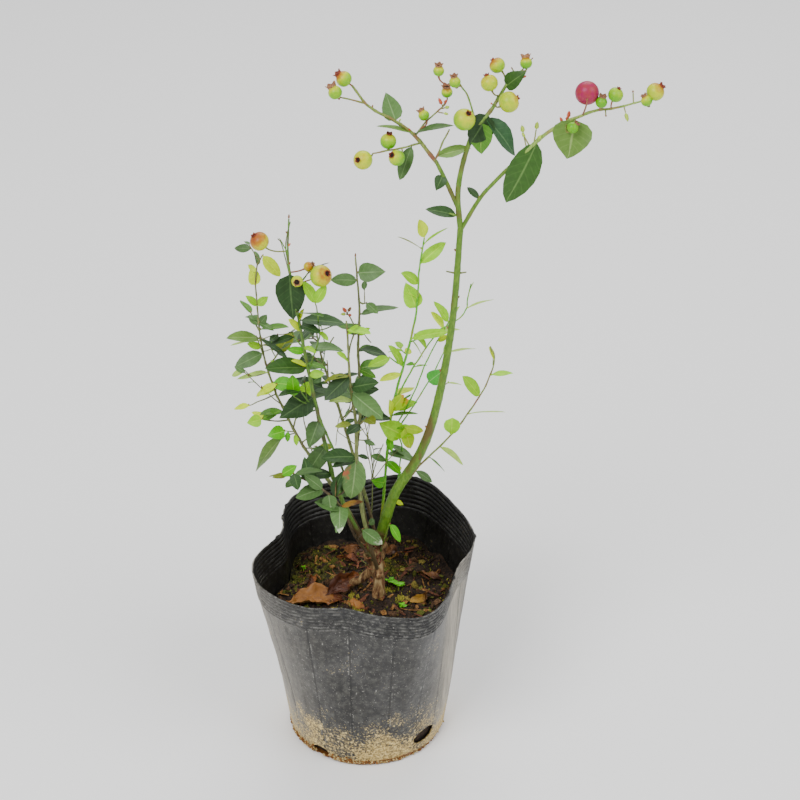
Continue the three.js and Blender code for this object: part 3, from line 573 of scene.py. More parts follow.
def drainPunch():
    # one cutter of all the drain holes
    size, cutters = potSizes, []
    for at, height, halfLength, halfHeight, slant in size["drainHoles"]:
        turn, radius = math.radians(at), wallRadiusAt(height)
        clearSelection()
        bpy.ops.mesh.primitive_cylinder_add(vertices=32, radius=1, depth=size["holeDepth"] * mm,
                                            location=(0, 0, 0))
        cutter = bpy.context.object
        bpy.ops.object.mode_set(mode="EDIT")
        bpy.ops.transform.resize(value=(halfLength * mm, halfHeight * mm, 1))
        bpy.ops.mesh.bevel(offset=size["holeBevel"] * mm, segments=1)
        bpy.ops.object.mode_set(mode="OBJECT")
        cutter.rotation_euler = (math.radians(90), math.radians(-slant), turn + math.radians(90))
        cutter.location = (radius * math.cos(turn) * mm, radius * math.sin(turn) * mm, height * mm)
        cutters.append(cutter)
    selectOnly(*cutters)
    applyPlace()
    bpy.ops.object.join()
    return bpy.context.object


def buildPot():
    size = potSizes
    heights = list(np.arange(size["wallFrom"], size["bandFrom"], size["wallRow"])) \
        + list(np.arange(size["bandFrom"], size["height"], size["bandRow"])) + [size["height"]]
    rows = [(0, size["baseRadius"] - size["corner"])] + [(z, wallRadiusAt(0) - gap) for z, gap in size["cornerRows"]]
    pot = drawnUp("pot_film", size["around"], rows + [(z, wallRadiusAt(z)) for z in heights], True)
    # ridges, creases and the soft unevenness of filled film, then the folds
    points = meshPoints(pot)
    radius = np.hypot(points[:, 0], points[:, 1])
    angle = np.arctan2(points[:, 1], points[:, 0])
    height = points[:, 2]
    band, ridge = bandAt(height)
    away = fromCrease(angle, height)
    crease = np.exp(-(away / size["creaseWidth"]) ** 2) * (1 - band) * smoothstep(height, 4, 14)
    puff = np.exp(-(away / size["puffWidth"]) ** 2) * (1 - band) * smoothstep(height, 10, 50)
    dents = layered(points, size["dents"]) * smoothstep(height, 6, 40)
    out = ridge * band * size["ridgeOut"] - crease * size["creaseIn"] - puff * size["puffIn"] + dents
    out = np.maximum(out, -size["deepest"])
    wall = radius > size["baseRadius"] - size["corner"] - 0.5
    scale = 1 + np.where(wall & (height > 2), out / np.maximum(radius, 1), 0)
    points[:, :2] *= scale[:, None]
    points[:, 2] += np.where(height > size["height"] - 0.1, roughly(points, 9, 5.5) * size["rimWave"], 0)
    movePoints(pot, folded(points))
    applyModifier(pot, "SOLIDIFY", thickness=size["drawnWall"] * mm, offset=-1, use_even_offset=False)
    punch = drainPunch()
    applyModifier(pot, "BOOLEAN", object=punch, operation="DIFFERENCE", solver="EXACT")
    bpy.data.objects.remove(punch)
    # where the film is worn, ridged, creased, dusty and inside; the dust mask also carries painted sheen at the side
    # edges
    points, normals = meshPoints(pot), pointNormals(pot)
    angle = np.arctan2(points[:, 1], points[:, 0])
    degrees = np.degrees(angle)
    height = points[:, 2] - rimLiftAt(angle, points[:, 2])
    band, ridge = bandAt(height)
    inside = (normals[:, 0] * points[:, 0] + normals[:, 1] * points[:, 1] < 0) & (height > 2)
    # the crease attribute also places the painted shade of the dark crease lines
    crease = np.exp(-(fromCrease(angle, height) / size["creaseWidth"]) ** 2) * (1 - band) * 0.9
    # painted sheen: the strong bands by the left and right edges stand for the film's pale grazing sheen, on top of
    # real dust all round and on the back
    dust = size["dustAll"] + size["dustBack"] * ((degrees > 20) & (degrees < 160)) \
        + sum(strength * gauss(degreesApart(angle, at), spread) for at, spread, strength in size["dust"])
    wear = np.where(height < size["bandFrom"] + 5, *size["ridgeWear"])  # most at the band's lower edge
    addAttribute(pot, "ridge", np.clip(ridge, 0, 1) * band * wear)
    addAttribute(pot, "crease", crease)
    addAttribute(pot, "dust", np.where(inside, size["dustInside"], dust * (1 - 0.5 * band)))
    addAttribute(pot, "inside", inside.astype(float))
    finish(pot, "pot", 50, potFilmMaterial())


buildPot()
print("pot built")

# the potting mix: a closed plug with a crumbly top, and what lies on it

soilSizes = {
    "height": 104, "bottom": 1.6, "fromWall": 0.7, "around": 240, "rings": 46,
    "sideRows": (3, 16, 30, 46, 62, 78, 92, 99), "sideGap": 0.8,
    "bump": 2.4, "calmRadius": 22,  # hollows of about this depth, calm round the foot
    "mound": 3.6, "moundAt": (7, -6),
    "fine": [(7, 1.3, 1.9, 1), (3, 4.9, 1.2, 1), (1.6, 8.1, 0.5, 1)],
    "moss": [(-34, 34, 20), (20, 29, 10), (13, 5, 9), (-50, 16, 11)],  # x, y and radius of mossy places
}


def soilHeightAt(x, y):
    calm = smoothstep(np.hypot(x, y), soilSizes["calmRadius"], soilSizes["calmRadius"] * 2)
    uneven = np.sin(x / 9 + 1) * np.cos(y / 8) + np.sin((x - y) / 5) / 2
    overX, overY = soilSizes["moundAt"]
    mound = soilSizes["mound"] * np.exp(-((x - overX) ** 2 + (y - overY) ** 2) / 90)
    return soilSizes["height"] + soilSizes["bump"] * calm * uneven + mound


def buildSoil():
    size = soilSizes
    inset = potSizes["wall"] + size["fromWall"]
    topRadius = wallRadiusAt(size["height"]) - inset
    rows = [(size["bottom"], wallRadiusAt(size["bottom"]) - inset - potSizes["corner"])]
    rows += [(z, wallRadiusAt(z) - inset - size["sideGap"]) for z in size["sideRows"]]
    rows += [(size["height"], topRadius * (1 - i / size["rings"])) for i in range(size["rings"])]
    soil = drawnUp("potting_mix", size["around"], rows, False)
    points = folded(meshPoints(soil))
    fromMiddle = np.hypot(points[:, 0], points[:, 1])
    relief = soilHeightAt(*points[:, :2].T) + layered(points, size["fine"]) * smoothstep(fromMiddle, 1, 4)
    points[:, 2] = np.where(points[:, 2] > size["height"] - 1, relief, points[:, 2])
    movePoints(soil, points)
    finish(soil, "soil", 60, pottingMixMaterial(size["moss"]))


buildSoil()


def asArrays(piece):
    # the points and faces of a model that is made once and copied many times
    points = meshPoints(piece) * mm
    faces = [tuple(polygon.vertices) for polygon in piece.data.polygons]
    bpy.data.objects.remove(piece)
    return points, faces


clearSelection()
bpy.ops.mesh.primitive_ico_sphere_add(subdivisions=1, radius=1, location=(0, 0, 0))
ball, ballFaces = asArrays(bpy.context.object)


def turnedFrame(turn, rise, roll):
    # the along, side and face directions of something that points this way
    along = direction(turn, rise)
    face = up - along * along[2]
    face /= np.linalg.norm(face)
    angle = math.radians(roll)  # a positive roll turns the face about the along direction
    face = face * math.cos(angle) + np.cross(along, face) * math.sin(angle)
    return along, np.cross(along, face), face


litterSizes = {
    "seed": 41, "crumbs": 1500, "chips": 170, "moss": 900, "stray": 700, "clods": 330,
    "wallGap": 2.5, "reach": 0.97,  # how near to the wall it lies
    "crumbSize": (-0.35, 0.45),  # mean and spread of the size's logarithm
    "crumbLight": 0.16, "clodSize": (1.1, 2.7),
    "clodKinds": ("crumb", "crumbLight", "crumbLight", "chipTan", "moss", "moss", "mossDry"),
    "chipLength": (4, 15), "chipWidth": (0.8, 3.4), "chipHalf": 0.35, "chipBend": (-0.15, 0.25),
    "tuftRadii": (0.5, 0.45, 0.15), "yellowRadii": (0.6, 0.75, 0.3), "yellowHeight": (1.2, 2.4),
    # dead leaves: root, turn, rise, length, width, roll, tone
    "deadLeaves": [
        ((-53, -12, 107.5), 6, 2, 41, 21, 8, "deadTan"), ((-27, -5, 109), 30, 20, 27, 14, 45, "deadRed"),
        ((-12, -14, 107.5), -22, 2, 13, 7, 0, "deadTan"), ((12, 50, 106), -60, 34, 20, 10, 30, "deadBrown"),
        ((15, 40, 107), 12, 12, 14, 6, -30, "deadTan"), ((30, -10, 106), 12, 8, 15, 6, 60, "dry"),
        ((-42, 2, 106), 60, 10, 18, 6, 40, "deadRed"),
        ((34, 24, 106), -30, 6, 22, 7, -20, "deadBrown"), ((-4, 34, 106), 150, 5, 20, 9, 10, "deadRed"),
        ((-20, 52, 106), -20, 6, 22, 9, 10, "deadBrown"),
    ],
    "yellowMoss": [(14.5, 2, 4.5), (-9, -4, 4), (-5, -17, 4), (24, -6, 3)],  # x, y and radius
    "yellowTufts": 330,
    # seedlings: place, height and leaf length
    "seedlings": [((22, 4, 104.5), 5, 6.5), ((24, -17, 104), 3.5, 4), ((16, 12, 104), 3.5, 4.5),
                  ((-44, 28, 104), 3, 3)],
}


def wallReachAt(x, y):
    # share of the way from the middle of the pot to its wall, at the top of the mix
    height = soilSizes["height"]
    return np.hypot(x, y) / (wallRadiusAt(height) - litterSizes["wallGap"] + foldAt(np.arctan2(y, x), height))


def placesOnSoil(draw, count, middles=None):
    # places anywhere on the mix, or strewn round the middles
    places = []
    while len(places) < count:
        if middles:
            x, y, radius = middles[draw.integers(len(middles))]
            turn, away = draw.uniform(0, 2 * math.pi), radius * abs(draw.normal(0, 0.5))
            x, y = x + away * math.cos(turn), y + away * math.sin(turn)
        else:
            x, y = draw.uniform(-80, 80, 2)
        if wallReachAt(x, y) < litterSizes["reach"]:
            places.append((x, y, float(soilHeightAt(x, y))))
    return places


mudSizes = {
    "seed": 19,
    # patches: direction in degrees, its spread, how many grains, and how high they reach
    "patches": [(-143, 7, 190, 2.6), (-104, 8, 300, 2.0), (-84, 12, 120, 1.4), (-60, 14, 90, 1.2),
                (-160, 9, 60, 1.4), (90, 60, 160, 1.4)],
}


def buildMud():
    # sandy mud that has caked in grains on the pot's bottom edge
    draw = np.random.default_rng(mudSizes["seed"])
    mud = Bundle()
    for turn, spread, count, high in mudSizes["patches"]:
        for _ in range(count):
            at = math.radians(turn + draw.normal(0, spread))
            height = abs(draw.normal(0, high))
            big = draw.uniform(0.35, 1.0)
            away = wallRadiusAt(height) + (-0.9 if height < 1 else 0) + big * 0.25
            shape = ball * draw.uniform(0.6, 1.2, (len(ball), 1)) * big
            middle = np.array((away * math.cos(at), away * math.sin(at), max(height, big * 1.2)))
            mud.add(shape + middle, ballFaces, "mud" if draw.random() < 0.6 else "sand",
                    shade=draw.uniform(0.1, 0.9))
    mud.makePiece("mud_grains", "pot", "soil")


buildMud()


def buildLitter():
    size = litterSizes
    draw = np.random.default_rng(size["seed"])
    crumbs = Bundle()
    for x, y, z in placesOnSoil(draw, size["crumbs"]):
        big = draw.lognormal(*size["crumbSize"])
        shape = ball * draw.uniform(0.55, 1.25, (len(ball), 1)) * draw.uniform(0.6, 1.3, 3) * big
        kind = "crumbLight" if draw.random() < size["crumbLight"] else "crumb"
        crumbs.add(shape + (x, y, z + big * 0.3), ballFaces, kind, shade=draw.uniform(0.1, 0.9))
    for x, y, z in placesOnSoil(draw, size["clods"]):
        big = draw.uniform(*size["clodSize"])
        shape = ball * draw.uniform(0.4, 1.4, (len(ball), 1)) * draw.uniform(0.5, 1.5, 3) * big
        kind = size["clodKinds"][draw.integers(len(size["clodKinds"]))]
        crumbs.add(shape + (x, y, z + big * 0.2), ballFaces, kind, shade=draw.uniform(0.1, 0.9))
    crumbs.makePiece("peat_crumbs", "soil", "soil")
    chips = Bundle()
    for x, y, z in placesOnSoil(draw, size["chips"]):
        length, wide = draw.uniform(*size["chipLength"]), draw.uniform(*size["chipWidth"])
        along, side, face = turnedFrame(draw.uniform(0, 360), draw.uniform(-8, 14), draw.uniform(-50, 50))
        bend, thick = draw.uniform(*size["chipBend"]), face * size["chipHalf"]
        ring = []
        for share in np.linspace(-0.5, 0.5, 5):
            half = side * wide / 2 * (1 - abs(share) * draw.uniform(0.6, 1.3))
            middle = along * length * share + face * length * bend * share ** 2
            ring += [middle + half, middle - thick, middle - half, middle + thick]
        kind = "chipRed" if draw.random() < 0.65 else "chipTan" if draw.random() < 0.5 else "crumbLight"
        chip = np.array(ring) + (x, y, z + 0.9)
        if wallReachAt(chip[:, 0], chip[:, 1]).max() < litterSizes["reach"]:
            chips.add(chip, ringFaces(5, 4), kind, shade=draw.uniform(0.1, 0.8))
    chips.makePiece("bark_chips", "soil", "soil", 30)
    moss = Bundle()
    for x, y, z in placesOnSoil(draw, size["moss"], soilSizes["moss"]) + placesOnSoil(draw, size["stray"]):
        points = [(x, y, z - 0.3)]
        for _ in range(2):
            points.append(points[-1] + draw.uniform((-0.6, -0.6, 0.5), (0.6, 0.6, 1.1)))
        kind = "mossYellow" if draw.random() < 0.2 else "moss"
        moss.add(*tube(points, size["tuftRadii"], 4), kind, shade=draw.uniform(0.1, 0.9))
    for x, y, z in placesOnSoil(draw, size["yellowTufts"], size["yellowMoss"]):
        points = [(x, y, z - 0.2), (x, y, z + 0.7), (x, y, z + draw.uniform(*size["yellowHeight"]))]
        moss.add(*tube(points, size["yellowRadii"], 5), "mossYellow", shade=draw.uniform(0.3, 1))
    moss.makePiece("moss_tufts", "soil", "soil")


buildLitter()
print("potting mix and litter built")

# leaves: a blade of a few dozen faces, round its section as a closed skin

bladeSizes = {
    "stations": [0, 0.05, 0.12, 0.25, 0.41, 0.58, 0.75, 0.9],
    "across": [1, 0.5, 0, -0.5, -1, -0.5, 0, 0.5], "top": [0, -1, -1, -1, 0, 1, 1, 1],
    "smallStations": [0, 0.06, 0.25, 0.5, 0.78], "smallAcross": [1, 0, -1, 0], "smallTop": [0, -1, 0, 1],
    "smallBelow": 9,  # leaves shorter than this have the small stations
    "stalkTo": 0.06, "stalk": 0.42, "thickness": 0.3, "fold": 0.22, "droop": 0.12,
    "shade": (0, 1), "youngShade": (0.45, 0.95),
}
youngTones = ("bright", "lime", "yellow", "pale", "blueGreen", "bronze")


def outlineAt(station, heart=False):
    # half-width of the blade as a share of its widest, broad at the base and pointed at the tip
    share = np.clip((np.asarray(station, float) - 0.05) / 0.95, 0, 1)
    if heart:
        return 2.598 * share ** 0.5 * (1 - share)
    return 2.614 * share ** 0.62 * (1 - share) ** 0.78


def addBlade(bundle, leaf, draw, curl=0.0, dead=False):
    small = leaf["length"] < bladeSizes["smallBelow"] and not dead
    stations = np.array(bladeSizes["smallStations" if small else "stations"])
    across = np.array(bladeSizes["smallAcross" if small else "across"], float)
    top = np.array(bladeSizes["smallTop" if small else "top"], float)
    length, half = leaf["length"], leaf["width"] / 2
    along, side, face = turnedFrame(leaf["turn"], leaf["rise"], leaf["roll"])
    fold = bladeSizes["fold"] * draw.uniform(0.6, 1.5)
    droop = bladeSizes["droop"] * draw.uniform(0.7, 1.4)
    twist, sway = math.radians(draw.uniform(-16, 16)), draw.uniform(-0.05, 0.05)
    phases, waviness = draw.uniform(0, 6.3, 2), draw.uniform(0.02, 0.07) * leaf["width"]
    points = []
    heart = leaf["width"] > leaf["length"] * 0.6
    for station in stations:
        place = 1.05 - station if leaf.get("turned") else station
        wide = max(bladeSizes["stalk"], half * float(outlineAt(place, heart)))
        onStalk = station < bladeSizes["stalkTo"]
        turned = twist * station
        sideNow = side * math.cos(turned) + face * math.sin(turned)
        faceNow = face * math.cos(turned) - side * math.sin(turned)
        wave = waviness * np.sin(7 * station + np.where(across > 0, phases[0], phases[1])) * np.abs(across)
        wave = wave * (0 if onStalk else 1) + curl * wide * across ** 2
        thick = bladeSizes["stalk"] if onStalk else bladeSizes["thickness"] / 2 * (1 - 0.4 * np.abs(across))
        high = np.abs(across) * wide * (0 if onStalk else fold) + wave - length * droop * station ** 2 \
            + top * thick
        middle = leaf["root"] + along * length * station + side * length * sway * station ** 2
        points.append(middle + faceNow * high[:, None] + sideNow * (across * wide)[:, None])
    tip = leaf["root"] + along * length - face * length * droop + side * length * sway
    points = np.vstack(points + [tip[None]])
    sides, rings = len(across), len(stations)
    faces = []
    columnTop = top + np.roll(top, -1)  # above 0 on the upper side, below 0 on the lower
    for corners in ringFaces(rings, sides, True):
        if len(corners) != 4 or corners[0] == sides - 1 and corners[1] == sides - 2:
            faces.append(corners)
            continue
        a, b, c, d = corners
        # the same diagonals above and below, so that the two sides never cross
        faces += [(a, b, c), (a, c, d)] if columnTop[a % sides] > 0 else [(a, b, d), (b, c, d)]
    places = np.append(stations, 1)
    uvs = []
    for corners in faces:
        if max(corners) < sides:
            uvs += [(0.5, 0.0)] * sides
            continue
        # the side that a face lies on starts at the corner whose next corner it also has
        columns = {corner % sides for corner in corners if corner < rings * sides}
        start = next(column for column in columns if (column + 1) % sides in columns)
        shift = 2.0 if columnTop[start] < 0 else 0.0
        for corner in corners:
            if corner == rings * sides:
                uvs.append((0.5 + shift, 1.0))
            else:
                uvs.append(((across[corner % sides] + 1) / 2 + shift, places[corner // sides]))
    shade = draw.uniform(*bladeSizes["youngShade" if leaf["tone"] in youngTones else "shade"])
    bundle.add(points, faces, leaf["tone"], np.array(uvs), shade)


def buildDeadLeaves():
    draw = np.random.default_rng(litterSizes["seed"] + 1)
    dead = Bundle()
    for root, turn, rise, length, width, roll, tone in litterSizes["deadLeaves"]:
        leaf = {"root": np.array(root, float), "turn": turn, "rise": rise, "length": length, "width": width,
                "roll": roll, "tone": tone}
        addBlade(dead, leaf, draw, curl=draw.uniform(0.15, 0.5), dead=True)
    crumpled = dead.makePiece("dead_leaves", "soil", "soil")
    applyModifier(crumpled, "SUBSURF", levels=2)
    points = meshPoints(crumpled)
    out = [roughly(points, 6, seed) * 2.4 + roughly(points, 2.6, seed + 3) * 1.1 for seed in (1.3, 5.9, 9.4)]
    movePoints(crumpled, points + np.column_stack(out))
    seedlings = Bundle()
    for root, high, length in litterSizes["seedlings"]:
        root = np.array(root, float)
        seedlings.add(*tube([root, root + up * high], [0.35, 0.3], 5), "twigLime")
        for i in range(5):
            far = length * draw.uniform(0.65, 1.1)
            leaf = {"root": root + up * high * (0.7 + 0.08 * i), "turn": 137 * i + draw.uniform(-20, 20),
                    "rise": draw.uniform(5, 45), "roll": draw.uniform(-20, 20), "length": far,
                    "width": far * 0.82, "tone": "bright"}
            addBlade(seedlings, leaf, draw)
    seedlings.makePiece("seedlings", "soil")


buildDeadLeaves()

# limbs: the points that each one runs through, its radius at the root and the tip, and its skin

limbs = {
    "main_cane": ([(9, 0, 148), (19, 0, 184.5), (37.5, 0, 220.5), (48, 0, 260), (56, 0, 316), (60, 0, 380)],
                  (3.9, 1.85), "caneSkin"),
    "bough_middle": ([(60, 0, 376), (58, 0, 398), (59, 0, 412), (62, -1, 427), (67, -2, 444)],
                     (1.6, 1.25), "boughSkin"),
    "bough_left": ([(58.5, 0, 391), (50, -1, 411), (45, -2, 422)], (1.2, 1), "boughSkin"),
    "bough_right": ([(59.5, 0, 376), (71, 1, 397), (81, 2, 409), (95, 3, 424)], (1.35, 1.05), "boughSkin"),
    "cane_left": ([(4, -0.5, 133), (-3, -2, 152), (-12, -4, 174), (-21, -6, 203)], (2.2, 1.9), "stemGreen"),
    "cane_outer": ([(6.5, 2.5, 126), (-4, 7.5, 150), (-18, 11, 178), (-33, 14, 200)], (1.6, 1.3),
                   "twigBrown"),
    "cane_front": ([(8, -5, 128), (4, -13, 150), (-2, -16, 184), (-5, -18, 222)], (1.4, 1.2), "twigBrown"),
    "cane_inner": ([(6.5, 2, 137), (1, 9, 152), (-4, 15, 180), (-6, 20, 207)], (1.4, 1.2), "twigBrown"),
    "cane_centre": ([(8.5, 2, 139), (10, 8, 156), (12, 11, 176), (14, 14, 203)], (1.3, 1.2), "twigBright"),
    "cane_right": ([(10, 0, 131), (15, 10, 154), (22, 17, 174), (36, 22, 194)], (1.3, 1.1), "twigOlive"),
    "cane_back": ([(8.5, 1, 128), (4, 16, 154), (-5, 31, 182), (-12, 40, 205)], (1.3, 1.1), "twigBrown"),
}
caneSizes = {
    "ringEvery": 0.8,  # between one ring of a limb's mesh and the next
    "nodeEvery": 19, "nodeOut": 0.06,  # swellings at the leaf scars
    # drawn a little thinner or thicker than the solid
    "drawn": {"cane_left": 0.84, "cane_centre": 0.75, "cane_right": 0.55, "bough_middle": 1.15,
              "bough_left": 1.2},
    "grain": [(0.9, 2.2, 0.05, 0.15), (5, 6.4, 0.12, 1)],
    "brown": [(2.6, 8.3, 0.3, 0.4)], "broadBrown": [(7, 1.7, 0.5, 0.3)], "greenBrown": [(8, 1.7, 0.4, 1)],
    "greenKinds": ("twigLime", "twigBright", "boughSkin"),  # with little brown on them
    # heights between which the main cane and the other limbs turn from brown to green
    "caneBrownFoot": (146, 160), "brownFoot": (146, 176),
    "seed": 7,
    # stubs and buds of the main cane: share of its length, turn, length
    "stubs": [(0.9, 178, 5.5), (0.9, -5, 4.5), (0.945, 170, 1.6), (0.775, 175, 1.6), (0.67, 200, 2.2),
              (0.845, 10, 1.5), (0.615, 20, 1.6), (0.485, 190, 1.8), (0.36, -60, 1.8), (0.24, 120, 1.6)],
}


def limbMesh(name, points, radii):
    # a round limb: a line drawn through its points, given its thickness and turned to a mesh
    line = bpy.data.curves.new(name, "CURVE")
    line.dimensions = "3D"
    line.bevel_depth = mm
    line.bevel_resolution = 5 if max(radii) > 2 else 3
    line.use_fill_caps = True
    spline = line.splines.new("POLY")
    spline.points.add(len(points) - 1)
    for place, (x, y, z), radius in zip(spline.points, points, radii):
        place.co = (x * mm, y * mm, z * mm, 1)
        place.radius = radius
    limb = bpy.data.objects.new(name, line)
    bpy.context.scene.collection.objects.link(limb)
    selectOnly(limb)
    bpy.ops.object.convert(target="MESH")
    return bpy.context.object


def buildLimb(name):
    knots, (rootRadius, tipRadius), kind = limbs[name]
    curve = curveThrough(knots)
    length = lengthOf(curve, 60)
    shares = np.linspace(0, 1, int(length / caneSizes["ringEvery"]))
    radii = lerp(rootRadius, tipRadius, shares) * caneSizes["drawn"].get(name, 1)
    phase = (shares * length / caneSizes["nodeEvery"]) % 1
    swell = np.exp(-((phase - 0.5) * caneSizes["nodeEvery"] / 1.3) ** 2)
    radii = radii * (1 + swell * caneSizes["nodeOut"])
    limb = limbMesh(name + "_bark", curve(shares), radii)
    points = meshPoints(limb)
    normals = pointNormals(limb)
    grain = layered(points, caneSizes["grain"]) * min(1, rootRadius / 2)
    movePoints(limb, points + normals * grain[:, None])
    # brown bark in patches across the cane's middle and near the foot, and painted shade: more of the darker brown
    # on the cane's -X side, the shaded side
    height = points[:, 2]
    upper = smoothstep(height, 262, 300)
    # the normals term is painted shade: the -X side is drawn browner and darker
    brown = layered(points - (6, 0, 14), caneSizes["broadBrown"]) + layered(points, caneSizes["brown"]) \
        - normals[:, 0] * 0.18 + smoothstep(height, 210, 228) * (1 - upper) * 0.13 - upper * 0.14 - 0.01
    if kind in caneSizes["greenKinds"]:
        brown = layered(points, caneSizes["greenBrown"]) + 0.1
    foot = caneSizes["caneBrownFoot" if name == "main_cane" else "brownFoot"]
    brown = brown + 1 - smoothstep(height, *foot)
    addAttribute(limb, "shade", np.clip(brown + 0.25, 0, 1))
    finish(limb, name, 60, materials[kind])
    return curve


limbCurves = {name: buildLimb(name) for name in limbs}

footSizes = {
    "voxel": 0.55,
    # legs and roots: points, and radius at the root and the tip
    "legs": [
        ([(7.5, -6.5, 101), (8.2, -5.6, 110), (8.6, -4.6, 122), (7.5, -1, 138), (9, 0, 149), (9.6, 0, 153)],
         (4.1, 4.0)),
        ([(-16, 3, 102), (-10, 2, 111.5), (-2, -1, 119), (7, -3, 130)], (2.5, 3.5)),
        ([(4, -9, 102), (6.4, -7.4, 109), (8.2, -4.6, 124), (7, -2, 138)], (2.2, 2.6)),
        ([(12.5, -2, 101), (10.6, -3, 110), (9.4, -2, 128), (8, 1, 140)], (2.4, 2.4)),
        ([(9, 2, 140), (4, 1, 143), (-1, -3, 147), (-4, -5, 149)], (2.6, 1.7)),
        ([(5, -3, 132), (0, -5, 140), (2, -6, 147), (6, -4, 151)], (2.2, 1.2)),
        ([(10, 1, 134), (13, 3, 141), (12, 2, 147)], (2.4, 1.5)),
    ],
    "knots": [((6.5, -0.5, 141), 5), ((3, -3, 137), 3), ((10.5, 0, 145), 3.4), ((8.6, -6, 125), 3.4),
              ((4.4, -3, 129), 3.2)],
    "furrows": [(1.7, 3.3, 1, 0.22), (4.5, 5.2, 1.4, 0.5)], "furrowDepth": 0.34, "flat": 102.5,
    "seed": 31, "strands": 3,
    # shreds of old bark and thin dead roots round the knot: where they start
    "shreds": [(-2, -6, 149), (4, -4, 152), (10, -4, 142), (1, -6, 132), (-4, -4, 134), (7, -6, 147),
               (3, -7, 139), (-1, -5, 143), (9, -6, 133)],
}


def buildFoot():
    size = footSizes
    pieces = []
    for knots, (rootRadius, tipRadius) in size["legs"]:
        curve = curveThrough(knots)
        shares = np.linspace(0, 1, 30)
        pieces.append(limbMesh("leg", curve(shares), lerp(rootRadius, tipRadius, shares)))
    for centre, radius in size["knots"]:
        clearSelection()
        bpy.ops.mesh.primitive_ico_sphere_add(subdivisions=3, radius=radius * mm,
                                              location=[c * mm for c in centre])
        pieces.append(bpy.context.object)
    selectOnly(*pieces)
    applyPlace()
    bpy.ops.object.join()
    foot = bpy.context.object
    foot.name = foot.data.name = "trunk_foot_bark"
    applyModifier(foot, "REMESH", mode="VOXEL", voxel_size=size["voxel"] * mm)
    applyModifier(foot, "SMOOTH", factor=0.6, iterations=4)
    points = meshPoints(foot)
    normals = pointNormals(foot)
    furrows = layered(points, size["furrows"])
    points = points + normals * (furrows * size["furrowDepth"])[:, None]
    points[:, 2] = np.maximum(points[:, 2], size["flat"])
    movePoints(foot, points)
    lit = 0.55 - 0.4 * (1 - smoothstep(points[:, 0], -4, 7))
    addAttribute(foot, "shade", np.clip(lit + furrows * 0.3, 0, 1))
    finish(foot, "trunk_foot", 70, materials["footBark"])


def buildShreds():
    draw = np.random.default_rng(footSizes["seed"])
    shreds = Bundle()
    for start in footSizes["shreds"]:
        for _ in range(footSizes["strands"]):
            points = [np.array(start, float)]
            way = direction(draw.uniform(0, 360), draw.uniform(-50, 50))
            for _ in range(4):
                way = way * 0.7 + draw.uniform(-0.6, 0.6, 3)
                points.append(points[-1] + way * draw.uniform(1.2, 2.6))
            curve = curveThrough(points)
            kind = "twigRed" if draw.random() < 0.6 else "twigBrown"
            shreds.add(*tube(curve(np.linspace(0, 1, 12)), np.linspace(0.5, 0.3, 12), 5), kind,
                       shade=draw.uniform(0.1, 0.7))
    shreds.makePiece("foot_shreds", "trunk_foot", "bark")


buildFoot()
buildShreds()

def addBud(bundle, root, along, length, width, kind, shade=0.5):
    # a small pointed bud that stands on root
    turn = math.degrees(math.atan2(along[1], along[0]))
    rise = math.degrees(math.asin(max(-0.99, min(0.99, along[2]))))
    share = (ball[:, 2] + 1) / 2
    wide = width / 2 * (1 - 0.45 * share ** 2)
    shape = np.column_stack([share * length, ball[:, 0] * wide, ball[:, 1] * wide])
    bundle.add(root + shape @ np.array(turnedFrame(turn, rise, 0)), ballFaces, kind, shade=shade)


def buildStubs():
    draw = np.random.default_rng(caneSizes["seed"])
    stubs = Bundle()
    curve, radii = limbCurves["main_cane"], limbs["main_cane"][1]
    for share, turn, length in caneSizes["stubs"]:
        out = direction(turn, 12)
        root = curve(share) + out * lerp(*radii, share) * 0.7
        if length > 3:
            stubs.add(*tube([root, root + out * length * 0.6, root + out * length], [0.75, 0.55, 0.5], 6),
                      "twigBrown", shade=0.4)
        else:
            addBud(stubs, root, direction(turn, 50), length + 0.8, 1.8, "budBrown", draw.uniform(0.2, 0.8))
    stubs.makePiece("cane_stubs", "main_cane", "green_bark")


buildStubs()
print("foot and limbs built")

# masses: each one's limb, its stem's points, and its stem's radius in the solid and as drawn.
# A leaf is along the stem from 0 to 1, turn, rise, length, width, roll and tone. A width of 0 is the
# usual one, a width below 0 is widest towards the tip, and a leaf with no tone only keeps its room.
# A fruit is along, turn, rise, stalk, diameter, then the calyx's turn and rise, the ripeness at its foot
# and at its calyx, and the calyx's size. A bud is along, turn, rise, stalk, length, width and kind.
# sprigs are the twigs with leaves and fruit of their own. more and moreSprigs are the finer leaves and
# twigs that stand among the solid ones; a bare sprig is a limb that is drawn already.
# rule: seed, twigs, their length, their leaves' length, first turn, and where they start and end along
# the stem. It grows within reach of the stem, and deals out the tones.

